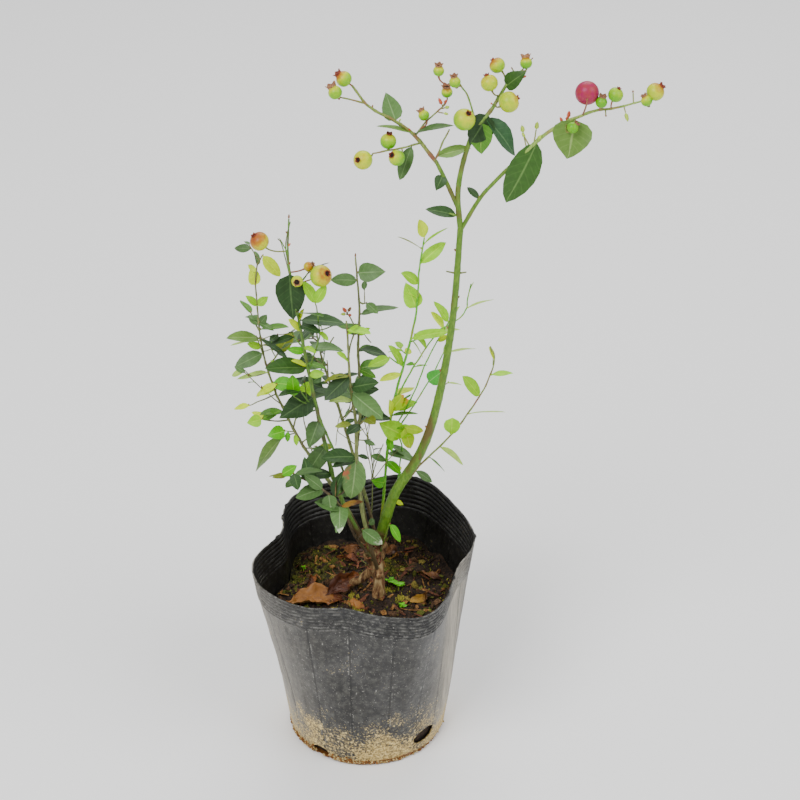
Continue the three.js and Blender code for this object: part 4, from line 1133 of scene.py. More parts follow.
masses = {}
masses["spray_left"] = {
    "limb": "bough_left", "points": [(31, -4, 441), (20, -6, 450), (5, -8, 460), (-5, -8, 473)],
    "radius": (0.95, 0.55), "drawn": (1.25, 0.7), "reach": 46, "bark": "twigOlive",
    "leaves": [
        (0.49, 146, 67, 18, 12, -45, "grey"), (0.26, -149, 28, 26, 9, -10, "whitish"),
        (0.25, -15, 26, 26, 8, 10, "grey")],
    "fruit": [(1, 180, 41, 6, 9.6, 178, 43, 0.12, 0.66, 1.15)],
    "sprigs": [
        {"points": [(35, -3, 435), (24, -8, 434), (7, -14, 433)],
         "leaves": [(0.24, -139, -63, 22, 9, -30, "grey")],
         "fruit": [
             (0.64, 155, 49, 6, 10, -30, 82, 0.02, 0.42, 0.8), (1, -161, -28, 7, 11.8, -122, 20, 0.3, 0.42, 0.6),
             (0.5, -110, -19, 9, 10, -136, 36, 0.02, 0.4, 0.8)]},
        {"points": [(32, -4, 440), (39, 0, 448), (49, 4, 456)],
         "fruit": [
             (0.23, 10, 76, 8.6, 6.8, 157, 58, 0.05, 0.5, 1.2), (1, 66, 58, 8, 7, -120, 80, 0.02, 0.65, 1.3)],
         "buds": [
             (0.97, 170, 62, 1, 5, 2.8, "budRed"), (0.9, -30, 20, 3, 3.6, 2.6, "budGreen"),
             (0.8, -10, -10, 4, 3.2, 2.2, "budGreen"), (0.95, 0, 60, 2.4, 3, 2.4, "budRed")]},
        {"points": [(3, -8, 462), (-12, -14, 468)], "fruit": [(1, -137, 48, 5, 8.4, 163, 60, 0.08, 0.45, 1.25)]},
        {"points": [(44, -2, 424), (48, -6, 436), (52, -9, 446)], "leaves": [(0.14, -27, 12, 20, 6, 20, None)]},
    ],
    "moreSprigs": [
        {"points": [(44, -2, 424), (47, -5, 432)], "bare": True, "leaves": [(0.3, 9, 16, 21, 9.5, 25, "whitish")]},
        {"points": limbs["bough_left"][0], "bare": True, "leaves": [(0.6, -125, -44, 10.2, 7.8, -30, "dark")]},
    ],
    "buds": [
        (0.72, 60, 60, 0, 2.4, 1.5, "budBrown"), (0.46, 20, 60, 1, 2.2, 1.4, "budGreen"),
        (0.3, -100, 50, 0, 2.6, 1.8, "budRed"), (0.12, 100, 60, 0, 2.4, 1.6, "budBrown")],
}
masses["spray_middle"] = {
    "limb": "bough_middle", "points": [(77, 0, 455), (85, 3, 468), (94, 5, 477)], "radius": (1.1, 0.6),
    "drawn": (1.4, 0.75), "reach": 44, "bark": "twigGreen",
    "leaves": [
        (0.18, -80, -51, 21, 15.5, 5, None), (0.24, 15, -56, 30, 12, 60, None),
        (0.66, -44, 39, 16.5, 8, 60, None)],
    "more": [
        (0.27, -150, -55, 22, 16.5, -62, "dark"), (0.13, -100, -76, 20, 15.5, 8, "mid"),
        (0.2, 4, -46, 32, 14.5, 40, "bluish"), (0.66, -27, 46, 16.5, 11, 70, "midDark")],
    "fruit": [
        (0.02, -132, 37, 13, 13.5, -55, 52, 0.14, 0.42, 0.55),
        (0.54, -145, 48, 12.5, 10.5, 152, 67, 0.3, 0.5, 0.7), (0.69, 154, 61, 13, 9.7, 170, 50, 0.2, 0.66, 0.55),
        (0.45, -46, 14, 10, 12.9, 20, 20, 0.3, 0.56, 0.5), (1, 0, 61, 5.6, 7.4, 106, 73, 0.02, 0.66, 1.3)],
    "sprigs": [
        {"points": [(68, -2, 446), (63, -4, 464), (58, -6, 473)],
         "fruit": [
             (1, -136, 29, 5, 7, -166, 80, 0.08, 0.45, 1.1), (0.92, 173, 33, 16, 6.7, -90, 86, 0.08, 0.5, 1.2)]},
    ],
    "buds": [
        (0.02, 150, 40, 0, 3, 2.6, "budRed"), (0.78, -10, 22, 7, 3, 2, "budRed"),
        (1, 20, 45, 9, 1.4, 1, "budBrown"), (0.9, 120, 30, 5, 1.8, 1.2, "budBrown"),
        (0.4, -120, 30, 4, 2, 1.4, "budRed")],
}
masses["spray_right"] = {
    "limb": "bough_right", "points": [(112, 3, 440), (134, 0, 453), (149, -3, 457), (164, -5, 462)],
    "radius": (1, 0.6), "drawn": (1.35, 0.55), "reach": 46, "bark": "twigPale",
    "more": [(0.16, -154, -64, 43.5, 19, -55, "midDark"), (0.415, -125, -74, 25.5, 24, -30, "whitish")],
    "moreSprigs": [
        {"points": limbs["bough_right"][0], "bare": True, "leaves": [(0.34, 152, 35, 10.5, 4.4, -35, "dark")]},
    ],
    "leaves": [
        (0.13, -144, -62, 41, 18, -40, None), (0.28, -50, -30, 22, 20, 30, None), (0.16, -95, 80, 17, 6, 0, None),
        (0.22, -54, 68, 16, 6, 0, None)],
    "fruit": [
        (0.36, -63, -9, 7, 7.1, 3, 48, 0.0, 0.05, 0.9), (0.46, -56, 78, 15, 14.6, 86, 12, 0.95, 1.0, 0.6),
        (0.6, -86, 55, 8, 7.2, -13, 80, 0.0, 0.05, 1.1), (0.72, -53, 73, 10, 9.3, -14, 67, 0.05, 0.22, 0.6),
        (1, -47, 20, 4.6, 7, 170, 60, 0.05, 0.5, 0.9), (1, 0, 36, 10, 11, 0, 46, 0.3, 0.6, 0.85)],
    "buds": [
        (0.06, 150, 75, 11, 5, 3.4, "budGreen"), (0.12, 40, 80, 9, 5, 3.4, "budGreen"),
        (0.12, -20, 55, 4, 4, 2.8, "budGreen"), (0.09, 170, 60, 7, 3.6, 2.4, "budGreen"),
        (0.37, 80, 60, 2, 4.4, 3, "budRed"), (0.34, 160, 60, 1, 3.6, 2.4, "budRed"),
        (0.35, 60, 30, 2, 3.4, 2.6, "budRed"), (0.84, -70, -50, 4, 6, 3, "budGreen"),
        (0.66, -90, -30, 4, 1.6, 1.4, "budBrown"), (0.93, 100, 70, 6, 1.8, 1.4, "budBrown")],
}
masses["leaf_fork"] = {
    "limb": "bough_middle", "fromSide": True, "points": [(58.5, 0, 386), (56, -1, 387.5), (53, -2, 389)],
    "radius": (0.7, 0.6), "reach": 30, "bark": "twigGreen", "leaves": [(0.7, -163, 14, 19, 10, -25, None)],
    "more": [(0.14, -174, 22, 20.1, 8.5, -35, "dark")],
}
masses["leaves_foot"] = {
    "limb": "trunk_foot", "fromSide": True, "points": [(9, -4, 126), (13, -9, 133), (16, -12, 140)],
    "radius": (0.8, 0.6), "reach": 30, "bark": "twigGreen", "drawStem": False,
    "leaves": [(1, -20, -10, 12, 6, 0, None), (0.6, -120, 5, 17, 9, 0, None)],
    "moreSprigs": [
        {"points": [(9, -3, 140), (13, -6, 155), (16, -8, 167)], "leaves": [(1, -27, -50, 14.2, 7, 10, "bright")]},
        {"points": [(3, -4, 140), (0, -11, 156), (-2, -17, 169)],
         "leaves": [(1, -17, -34, 17, 9.5, 62, "whiteTip")]},
    ],
}
masses["foliage_left"] = {
    "limb": "cane_left",
    "points": [(-28, -8, 243), (-35, -10, 286), (-40, -12, 325), (-45, -12, 361), (-44, -10, 389)],
    "radius": (1.9, 0.5), "drawn": (1.55, 0.45), "reach": 40, "bark": "stemGreen",
    "tones": ["dark", "midDark", "grey", "dark"],
    "leaves": [
        (0.58, 150, 74, 29, 18, -45, None), (0.7, 179, 53, 27, 9, -30, None), (0.58, -8, 5, 29, 12, 10, "dark"),
        (0.4, -167, 11, 27, 14, -30, "midDark"), (0.3, -149, -15, 26, 16.5, -45, "dark"),
        (0.22, -119, -45, 19, 12, -20, "grey"), (0.56, -45, 10, 17, 0, 0, "dark"),
        (0.47, 10, 0, 25, 0, 0, "grey"), (0.47, 135, -15, 15, 0, 0, "bright"),
        (0.12, -156, -51, 23.3, 11.7, -55, "grey"), (0.01, -140, 25, 22, 11, -25, "dark"),
        (0.16, 35, -5, 22, 0, 0, None), (0.32, 25, -15, 21, 0, 0, "dark")],
    "fruit": [
        (0.85, -166, 26, 19, 12, -158, 52, 0.42, 0.76, 0.6), (0.74, -60, 8, 9, 7.4, -90, 15, 0.3, 0.42, 0.9),
        (0.76, 11, 13, 12, 6.4, -13, 34, 0.5, 0.62, 0.9), (0.71, -11, 24, 20, 14, -43, 32, 0.2, 0.6, 0.6)],
    "rule": (11, 6, 18, 18, 60, 0.1, 0.75),
    "more": [
        (0.76, -86, -72, 30, 18.7, 5, "dark"), (0.07, -174, -29, 22.4, 9.4, -25, "mid"),
        (0.05, 49, 57, 9.8, 7.2, 35, "grey"), (0.58, -56, 69, 10.2, 4.3, 90, "yellow"),
        (0.54, -148, 54, 12.7, 5.4, -60, "yellow"), (0.41, -150, 37, 12.5, 5.2, -25, "yellow"),
        (0.38, -23, 12, 10.7, 5.7, 60, "lime"), (0.42, -25, 2, 14.2, 6, 0, "mid"),
        (0.46, -154, 24, 12.3, 5.2, -55, "bright"), (0.48, -37, 0, 10, 4.2, 25, "lime")],
    "moreSprigs": [
        {"points": [(-35, -10, 283), (-28, -14, 307), (-27, -15, 316), (-28, -16, 330), (-29, -16, 335)],
         "leaves": [
             (1, -161, 70, 17.1, 7.2, -65, "lime"), (1, -19, 65, 14.7, 6.7, 95, "lime"),
             (0.48, -26, -35, 8.4, 3.5, 25, "lime")]},
        {"points": [(-32, -9, 265), (-29, -11, 253), (-23, -11, 235), (-16, -11, 217), (-11, -10, 200)],
         "thin": 1.5},
        {"points": [(-30, -9, 257), (-39, -14, 264), (-44, -16, 269)],
         "leaves": [(1, -93, 83, 15.7, 8.8, -175, "bright")]},
        {"points": [(-40, -12, 325), (-48, -10, 368), (-51, -10, 376)], "thin": 0.6},
        {"points": [(-44, -12, 353), (-46, -12, 366), (-46, -12, 376), (-43, -12, 388)], "thin": 0.7},
        {"points": [(-45, -12, 367), (-48, -12, 373), (-50, -12, 377)], "thin": 0.6},
    ],
    "buds": [
        (1, 80, 70, 0, 3, 1.6, "budBrown"), (0.93, -160, 50, 0, 2.6, 1.6, "budBrown"),
        (0.87, 10, 50, 0, 2.8, 1.8, "budRed"), (0.79, -30, 60, 0, 2.8, 1.8, "budBrown")],
}
masses["foliage_outer"] = {
    "limb": "cane_outer", "points": [(-45, 14, 223), (-58, 12, 258), (-65, 8, 293), (-67, 4, 337)],
    "radius": (1.3, 0.5), "drawn": (1.1, 0.45), "reach": 34, "bark": "twigBrown",
    "tones": ["grey", "mid", "lime", "olive"],
    "leaves": [
        (1, 132, 77, 13, 8, -30, "yellow"), (0.94, -159, 12, 12, 8, -45, None),
        (0.27, -148, -28, 36, 11, -20, None), (0.86, 130, -5, 15, 0, 0, "grey"), (0.82, -15, 20, 20, 0, 0, "mid"),
        (0.78, -165, 15, 22, 9, -20, "whitish"), (0.71, -155, -15, 20, 10, -45, "grey"),
        (0.6, 165, -15, 24, 7, 0, "pale"), (0.54, -20, 5, 17, 10, 45, "bright"),
        (0.5, -140, 10, 15, 0, 0, "yellow"), (0.46, 170, -20, 27, 7, 0, None), (0.38, -145, 20, 19, 0, 0, "mid"),
        (0.33, 175, -5, 26, 13, -40, None), (0.28, -145, 5, 20, 12, -40, None)],
    "rule": (23, 4, 18, 16, 60, 0.2, 0.9),
    "more": [
        (0.92, -135, 52, 11.7, 4.9, -80, "lime"), (0.92, -24, 46, 10.4, 5.6, 85, "lime"),
        (0.84, -31, 53, 9.8, 5.6, 95, "grey"), (0.84, 156, 36, 9.2, 5, -50, "grey"),
        (0.26, -78, -62, 8.6, 3.9, 10, "lime"), (0.85, -33, -8, 11.3, 4.7, 15, "grey"),
        (0.77, 164, -9, 22.1, 5, 10, "pale"), (0.74, -155, 25, 10.4, 5.1, -70, "lime"),
        (0.78, -21, -26, 21.5, 6, 0, "dark")],
    "moreSprigs": [
        {"points": [(-67, 4, 337), (-66, 5, 346), (-65, 4, 352), (-62, 4, 358)],
         "leaves": [(1, -19, -46, 17.4, 8, 55, "yellow"), (0.34, 145, 27, 7.8, 3.7, -45, "yellow")]},
        {"points": [(-55, 13, 247), (-63, 10, 257), (-72, 9, 267), (-77, 9, 273)], "thin": 0.65,
         "leaves": [(0.95, 150, 20, 9, 4, -30, "grey"), (0.6, -120, 30, 8, 4, 20, "mid")],
         "buds": [(0.8, 60, 70, 0, 2, 1.2, "budBrown"), (0.45, 100, 60, 0, 2, 1.2, "budBrown")]},
        {"points": [(-62, 10, 276), (-65, 7, 289), (-68, 6, 301)], "thin": 0.6},
        {"points": [(-46, 14, 225), (-49, 13, 226), (-52, 12, 227)], "thin": 0.7,
         "leaves": [(1.0, -161, -7, 12.4, 9.8, -55, "bright"), (0.73, -113, -74, 7.8, 3.9, -20, "bright")]},
        {"points": [(-46, 14, 224), (-50, 13, 223.5), (-54, 12, 222)], "thin": 0.8,
         "leaves": [(1, -178, -48, 32, 15.5, -15, "whitish")]},
        {"points": [(-64, 9, 288), (-56, 5, 291), (-47, 3, 282)], "thin": 0.6,
         "leaves": [(0.6, -60, 10, 10, 4.5, 10, "dark")]},
        {"points": [(-65, 8, 297), (-58, 4, 302), (-50, 2, 304), (-44, 0, 307)], "thin": 0.6,
         "leaves": [(0.5, -110, 10, 12, 5, -20, "dark"), (0.85, -60, 40, 9, 4, 10, "grey")]},
        {"points": [(-61, 11, 272), (-72, 12, 268), (-77, 13, 272)], "thin": 0.6,
         "leaves": [(1, 170, -26, 10.5, 4.6, -50, "pale")]},
        {"points": [(-57, 12, 255), (-57, 10, 260), (-56, 9, 264)], "thin": 0.6,
         "leaves": [(1, -172, -23, 16.3, 6.9, -25, "yellow")]},
        {"points": [(-50, 14, 234), (-59, 11, 235), (-67, 10, 237)],
         "leaves": [
             (1, -168, -11, 10.1, 8.5, -60, "lime"), (1, -23, 37, 16, 6.7, 45, "mid"),
             (0.69, 165, 28, 13, 5.5, -15, "yellow")]},
        {"points": [(-57, 12, 255), (-67, 14, 249), (-75, 16, 244)],
         "leaves": [(1, 170, -17, 12.1, 5.1, -25, "yellow")]},
        {"points": [(-33, 14, 200), (-43, 12, 221), (-49, 12, 233)], "thin": 0.75},
        {"points": [(-33, 14, 200), (-39, 12, 230), (-40, 12, 238)], "thin": 0.75},
    ],
}
masses["foliage_front"] = {
    "limb": "cane_front", "points": [(-5, -20, 251), (-8, -22, 281), (-9, -22, 306), (-10, -20, 325)],
    "radius": (1.2, 0.5), "reach": 34, "bark": "twigBrown", "tones": ["dark", "grey", "olive"],
    "leaves": [
        (0.56, -143, -27, 22, 11, -35, "dark"), (0.45, -22, -36, 26, 13, 40, "grey"),
        (0.05, -107, -62, 26, 15, -10, None), (0.92, -30, 10, 17, 0, 0, "lime"), (0.77, -150, 40, 18, 0, 0, None),
        (0.56, -160, 0, 17, 0, 0, "olive"), (0.48, -25, 25, 20, 11, 40, "dark"),
        (0.4, -145, 20, 18, 0, 0, "pale"), (0.24, -150, 20, 16, 0, 0, "olive"),
        (0.03, -160, 15, 24, 12, -30, "dark")],
    "rule": (5, 3, 14, 16, 300, 0.1, 0.95),
    "more": [
        (0.03, -120, -80, 31.1, 15.6, -30, "spotted"), (0.01, -159, -1, 16.6, 7, -15, "dark"),
        (0.66, -142, 51, 12.9, 5.4, -40, "lime"), (0.88, -26, 49, 10.3, 4.3, 40, "lime")],
    "moreSprigs": [
        {"points": [(-5, -19, 235), (-13, -16, 240), (-17, -14, 244), (-14, -12, 258)], "thin": 0.5},
        {"points": [(-6, -21, 264), (-16, -21, 249), (-18, -21, 236)], "thin": 0.5},
    ],
}
masses["foliage_inner"] = {
    "limb": "cane_inner", "points": [(-3, 22, 241), (-4, 24, 281), (-3, 24, 313), (-5, 22, 348)],
    "radius": (1.2, 0.5), "reach": 34, "bark": "twigBrown", "tones": ["grey", "dark", "midDark"],
    "leaves": [
        (0.91, 3, 12, 20, 11, 30, None), (0.88, -162, 15, 17.5, 9, -50, "grey"),
        (0.7, -10, 21, 26, 10, 10, "grey"), (0.61, 145, 0, 17, 0, 0, "mid"), (0.5, -15, 0, 20, 0, 0, "dark"),
        (0.41, 25, 5, 20, 11, 20, "mid"), (0.28, 140, -5, 18, 0, 0, "grey"), (0.17, 35, 0, 17, 0, 0, "dark")],
    "rule": (37, 5, 18, 18, 100, 0.05, 0.85),
    "more": [
        (0.92, -11, 9, 18.5, 12.5, 60, "grey"), (0.39, -170, -7, 16, 6, -5, "dark"),
        (0.58, -30, 42, 10.7, 4.5, 55, "lime"), (0.41, -28, -11, 12.8, 5.4, 35, "mid"),
        (0.49, 34, 13, 10.9, 4.6, 20, "grey"), (0.32, -27, 17, 13.8, 5.8, 65, "dark")],
    "moreSprigs": [
        {"points": [(-3, 24, 302), (-9, 20, 286), (-10, 19, 269), (-8, 21, 245)]},
        {"points": [(-4, 21, 227), (5, 21, 208), (5, 21, 191)], "thin": 0.5},
        {"points": [(4, 8, 191), (5, 12, 198), (3, 12, 217), (-1, 12, 238)], "thin": 0.62},
        {"points": [(4, 8, 191), (4, 10, 198), (1, 10, 217), (4, 10, 238)], "thin": 0.62},
        {"points": [(4, 8, 165), (5, 8, 191), (6, 9, 199), (9, 9, 209), (12, 9, 219)], "thin": 0.62},
        {"points": [(4, 8, 191), (8, 8, 196), (15, 8, 207), (22, 8, 215)], "thin": 0.6},
        {"points": [(-4, 24, 294), (-8, 21, 304), (-11, 20, 310)],
         "buds": [
             (1, 150, 45, 0, 4.4, 3, "budRed"), (0.96, 20, 55, 1, 4, 2.6, "budBrown"),
             (0.9, 200, 10, 1, 4, 2.6, "budGreen"), (0.85, -60, 20, 1, 3.6, 2.4, "budRed")]},
        {"points": [(5, 14, 199), (3, 16, 209), (1, 20, 221), (3, 22, 229)], "thin": 0.5},
        {"points": [(5, 14, 199), (8, 13, 208), (12, 12, 216)], "thin": 0.5},
    ],
    "buds": [(1, 90, 80, 0, 3, 1.5, "budBrown")],
}
masses["foliage_back"] = {
    "limb": "cane_back", "points": [(-20, 46, 232), (-28, 48, 258), (-32, 47, 282)], "radius": (1.1, 0.5),
    "reach": 32, "bark": "twigBrown", "tones": ["dark", "grey", "midDark"],
    "rule": (71, 7, 18, 18, 60, 0.1, 0.95),
}
masses["foliage_low"] = {
    "limb": "trunk_foot", "fromSide": True,
    "points": [
        (5, -5, 136), (-6, -11, 158), (-15, -19, 187), (-27, -23, 204), (-41, -25, 214), (-53, -26, 217)],
    "radius": (1.3, 0.6), "drawn": (1.1, 0.5), "reach": 30, "bark": "twigDark", "tones": ["dark", "grey"],
    "leaves": [
        (0.42, -91, -28, 19, 12, 0, "whiteTip"), (0.34, -130, -25, 13, 0, 0, "grey"),
        (0.4, -155, 30, 20, 11, -30, "grey"), (0.49, 40, 75, 20, 0, 0, "dark"),
        (0.6, -150, 5, 19, 11, -30, "grey"), (0.72, 110, 65, 16, 10, 0, "dark"),
        (0.81, -125, 5, 14, 0, 0, "grey"), (0.98, 155, -10, 11, 0, 0, "olive")],
    "rule": (43, 3, 12, 17, 20, 0.4, 0.98),
    "more": [
        (1, -20, 38, 13, 7, 75, "bright"), (0.94, -155, 8, 9.6, 4, -25, "olive"),
        (0.58, -161, 8, 15, 7.7, -60, "grey"), (0.54, -70, -68, 12.8, 9.7, 15, "whiteTip"),
        (0.6, -148, 52, 18.4, 7.7, -85, "grey"), (0.41, -12, 27, 15.9, 6.7, 10, "dry"),
        (0.48, 87, 77, 13.6, 5.7, -55, "dry")],
}
masses["shoot_centre"] = {
    "limb": "cane_centre", "points": [(18, 16, 242), (26, 16, 276), (33, 14, 311), (35, 12, 343), (38, 10, 367)],
    "radius": (1.2, 0.5), "drawn": (0.95, 0.45), "reach": 46, "bark": "twigBright",
    "tones": ["lime", "bright", "yellow", "lime"],
    "leaves": [
        (1, 180, 80, 12.5, 7.5, -60, "yellow"), (0.84, 16, 42, 21, 9, 30, "lime"),
        (0.92, -169, 40, 18, 6, -20, None), (0.74, -164, 45, 14, 8, -40, "lime"),
        (0.63, 160, 69, 18, 12, -60, "lime"), (0.5, -13, 25, 25, 9, 20, "lime"),
        (0.38, -157, 63, 20, 8, -40, "lime"), (0.18, -92, -52, 22, 15, 0, None),
        (0.2, -32, 42, 15, 9, 60, "bronze"), (0.1, -15, 20, 20, 11, 30, "lime"), (0.03, -25, 0, 20, 0, 0, "grey"),
        (0, -40, -20, 14, 0, 0, "bright"), (0.24, 150, 0, 17, 0, 0, None), (0.48, -30, -20, 13, 0, 0, None)],
    "sprigs": [
        {"points": [(21, 16, 250), (33, 18, 274), (47, 20, 296)],
         "leaves": [
             (0.75, -160, 60, 14, 7, -40, "lime"), (0.55, 170, 75, 10, 5, 0, None),
             (1, 10, 10, 15, 5, 0, "pale")]},
        {"points": [(46, 20, 294), (62, 22, 312), (82, 24, 322)], "thin": 0,
         "leaves": [(0.45, 40, 60, 18, 6, 0, None), (1, 5, 10, 12, 5, 0, None)]},
    ],
    "rule": (59, 2, 12, 14, 70, 0.05, 0.5),
    "more": [
        (0.09, -85, -46, 9.3, 4.6, 15, "bright"), (0.96, -8, 45, 19.9, 4, 5, "lime"),
        (0.35, -160, -7, 15.1, 6.3, -20, "yellow"), (0.19, -41, 58, 17, 8.4, 80, "bronze"),
        (0.17, -90, 67, 15.6, 6.6, -135, "yellow"), (0.17, -10, 16, 18.5, 5, 5, "mid"),
        (0.06, 0, -28, 22, 9.4, 5, "grey"), (0.93, 168, 33, 17.6, 2.8, 20, "olive"),
        (0.5, -12, -49, 15.1, 2.8, -10, "pale"), (0.09, -71, -36, 10.5, 4.4, -10, "bright"),
        (0.16, -146, 21, 17.3, 7.3, -30, "dark"), (0, -147, 35, 13.7, 5.7, -40, "grey")],
    "moreSprigs": [
        {"points": [(15, 15, 218), (30, 17, 248), (39, 19, 272), (47, 21, 289), (54, 22, 302)],
         "leaves": [
             (1, -167, 61, 18.3, 7.7, -50, "lime"), (0.9, -156, 62, 16.1, 6.8, -40, "yellow"),
             (0.75, -23, 35, 9.2, 3.9, 70, "yellow"), (1, 25, 57, 12.8, 5.4, -10, "lime")]},
        {"points": [(15, 15, 215), (33, 19, 244), (43, 21, 262), (51, 23, 279)],
         "leaves": [
             (0.6, -26, 48, 16.5, 10.5, 90, "blueGreen"), (1, 0, 67, 11.2, 4.7, 30, "lime"),
             (1, 5, 13, 21.9, 5, -10, "pale")]},
        {"points": [(17, 16, 231), (24, 16, 214), (23, 15, 199), (21, 14, 183)]},
        {"points": [(15, 15, 219), (20, 14, 220.5), (25, 13, 223)], "thin": 0.7,
         "leaves": [(1, -172, 34, 18.4, 14, -70, "lime")]},
        {"points": [(16, 15, 226), (21, 13.5, 228), (26, 11, 230)], "thin": 0.7,
         "leaves": [(1, -37, -72, 15.8, 9, 45, "bronze"), (1, -10, -8, 12.5, 6.5, 60, "bronze")]},
        {"points": [(29, 15, 291), (58, 21, 303), (65, 23, 311), (66, 24, 317), (68, 25, 328)], "thin": 0.8,
         "leaves": [(0.52, 7, 22, 19, 3.6, -5, "pale"), (0.79, 26, 79, 11.6, 2.6, -10, "pale")]},
        {"points": limbs["cane_centre"][0], "bare": True,
         "leaves": [(0.8, -140, 30, 12, 8, -80, "bright"), (0.96, -16, -19, 11.6, 4.2, 20, "bright")]},
    ],
}
masses["shoot_right"] = {
    "limb": "cane_right", "points": [(56, 28, 213), (69, 32, 230), (80, 35, 249), (85, 36, 267), (82, 34, 278)],
    "radius": (1.1, 0.45), "drawn": (0.7, 0.4), "reach": 34, "bark": "twigOlive",
    "tones": ["lime", "pale", "yellow"],
    "leaves": [
        (0.51, -160, 59, 20, 9, -60, "lime"), (0.67, -6, 15, 15, 6, 0, "lime"), (0.39, -18, 19, 26, 7, 20, None),
        (0.32, -148, -17, 13, 9, -45, None), (0.85, 60, 40, 12, 6, 0, None), (0.15, -40, 10, 18, 6, 0, None),
        (0.55, 80, 20, 16, 8, 0, None), (0.25, 100, 25, 18, 9, 0, None), (0.02, -40, -35, 16, 0, 0, None),
        (0.13, -20, -25, 20, 7, 0, "pale")],
    "more": [
        (0.21, -60, 78, 13.7, -11.5, 145, "lime"), (0.38, 5, 9, 25.6, 3.6, -15, "pale"),
        (0.06, -30, -24, 15.2, 3.5, -20, "mid"), (0.8, 147, 67, 9.5, 4, 0, "yellow")],
    "moreSprigs": [
        {"points": [(36, 22, 194), (47, 26, 247), (54, 28, 254)], "leaves": [(1, 0, 0, 9.8, 2.2, 10, "pale")]},
        {"points": [(84, 36, 263), (84, 37, 268), (82, 38, 276)], "thin": 0.5},
        {"points": limbs["cane_right"][0], "bare": True,
         "leaves": [(0.94, -9, -31, 14.1, 5.9, 35, "grey"), (0.6, -40, -4, 6.2, 3.4, 50, "yellow")]},
    ],
}
stage = {
    "floor": 6, "camera": (0.023, -1.050, 0.8635), "tilt": 60, "lens": 85, "sensor": 36, "frame": 800,
    # lights: place, power in watts, and size in metres
    "lights": [((-1.1, -1.5, 2.2), 62, 1.3), ((1.6, -0.9, 1.8), 30, 1.5), ((0.2, 1.6, 2.2), 34, 1.8)],
    "sky": 0.6,
}
# openings through the bush: column, row and radius in the picture's pixels. No leaf of the rules is drawn
# where it would close one
openings = [(333, 335, 9), (337, 358, 13), (333, 408, 11), (338, 298, 10), (383, 328, 12), (380, 296, 6),
            (390, 290, 8), (336, 430, 8), (247, 393, 9), (302, 270, 5), (290, 232, 13), (275, 240, 10),
            (401, 327, 6), (379, 439, 6), (290, 313, 6), (303, 404, 4), (330, 309, 4), (345, 311, 3),
            (420, 355, 6), (412, 263, 5), (455, 416, 6), (493, 366, 5)]
leafTwigs = {"radius": 0.62, "tipRadius": 0.45, "sag": 0.08}
growth = {
    "golden": 137.5, "turn": (-20, 20), "rise": (15, 55), "shrink": (1.15, 0.6), "length": (0.8, 1.2),
    "leafShares": (0.45, 0.75, 1), "leafSides": (-62, 62, 0), "leafTurn": (-15, 15), "leafRise": (-30, 15),
    "leafRiseShare": 0.6, "leafLength": (0.75, 1.25), "leafRoll": (-35, 35), "leafWidth": (0.42, 0.55),
    "usualWidth": 0.48,  # of a leaf's length
    "overRim": 8, "fromWall": 20,  # room kept between the bush and the pot
}
roomSizes = {"leaf": 1.3, "twig": 0.9, "root": 0.3, "limbBalls": 12, "twigBalls": 12, "stemBalls": 60,
             "stemPoints": 24}


class Room:
    # the balls of every limb, twig, leaf and fruit so far, and whose each one is
    def __init__(self):
        self.centres, self.radii, self.owners = np.zeros((400000, 3)), np.zeros(400000), np.zeros(400000, int)
        self.count, self.names = 0, {}

    def number(self, owner):
        return self.names.setdefault(owner, len(self.names))

    def take(self, centres, radii, owner):
        end = self.count + len(centres)
        self.centres[self.count:end] = centres
        self.radii[self.count:end] = radii
        self.owners[self.count:end] = self.number(owner)
        self.count = end

    def isFree(self, centres, radii, carriers):
        low, high = centres.min(axis=0) - 14, centres.max(axis=0) + 14
        others = self.centres[:self.count]
        near = ((others > low) & (others < high)).all(axis=1)
        near &= ~np.isin(self.owners[:self.count], [self.number(carrier) for carrier in carriers])
        if not near.any():
            return True
        apart = np.linalg.norm(centres[:, None] - others[near][None], axis=2)
        return bool((apart > np.broadcast_to(radii, len(centres))[:, None]
                     + self.radii[:self.count][near][None]).all())


room = Room()


def leafBalls(leaf):
    along, side, face = turnedFrame(leaf["turn"], leaf["rise"], leaf["roll"])
    centres = []
    for station in (0.3, 0.42, 0.54, 0.66, 0.78, 0.9, 1):
        half = leaf["width"] / 2 * min(1, 3 * (1.02 - station))
        for across in (-1, -0.5, 0, 0.5, 1):
            high = abs(across) * half * bladeSizes["fold"] - leaf["length"] * bladeSizes["droop"] * station ** 2
            centres.append(leaf["root"] + along * leaf["length"] * station + face * high + side * across * half)
    return np.array(centres)


def clearOfPot(centres):
    within = np.hypot(centres[:, 0], centres[:, 1]) < potSizes["rimRadius"] - growth["fromWall"]
    over = centres[:, 2] > potSizes["height"] + growth["overRim"]
    return over | (within & (centres[:, 2] > soilSizes["height"] + growth["overRim"]))


def seenAt(points):
    # columns and rows of the picture at which the camera sees places in millimetres
    tilt = math.radians(stage["tilt"])
    apart = points * mm - stage["camera"]
    away = apart @ (0, math.sin(tilt), -math.cos(tilt))
    high = apart @ (0, math.cos(tilt), math.sin(tilt))
    focal = stage["lens"] / stage["sensor"] * stage["frame"]
    middle = stage["frame"] / 2
    return np.column_stack([middle + focal * apart[:, 0] / away, middle - focal * high / away])


def closesOpening(points):
    seen = seenAt(points)
    return any((np.hypot(seen[:, 0] - column, seen[:, 1] - row) < radius).any()
               for column, row, radius in openings)


def twigRadius(share):
    return lerp(leafTwigs["radius"], leafTwigs["tipRadius"], share)


def spanDraw(random):
    # a number between a span's two ends, by the next random draw
    return lambda span: lerp(span[0], span[1], random())


def leafOf(curve, entry):
    along, turn, rise, length, width, roll, tone = entry
    return {"root": curve(along), "turn": turn, "rise": rise, "length": length,
            "width": abs(width) or length * growth["usualWidth"], "roll": roll, "tone": tone,
            "turned": width < 0}


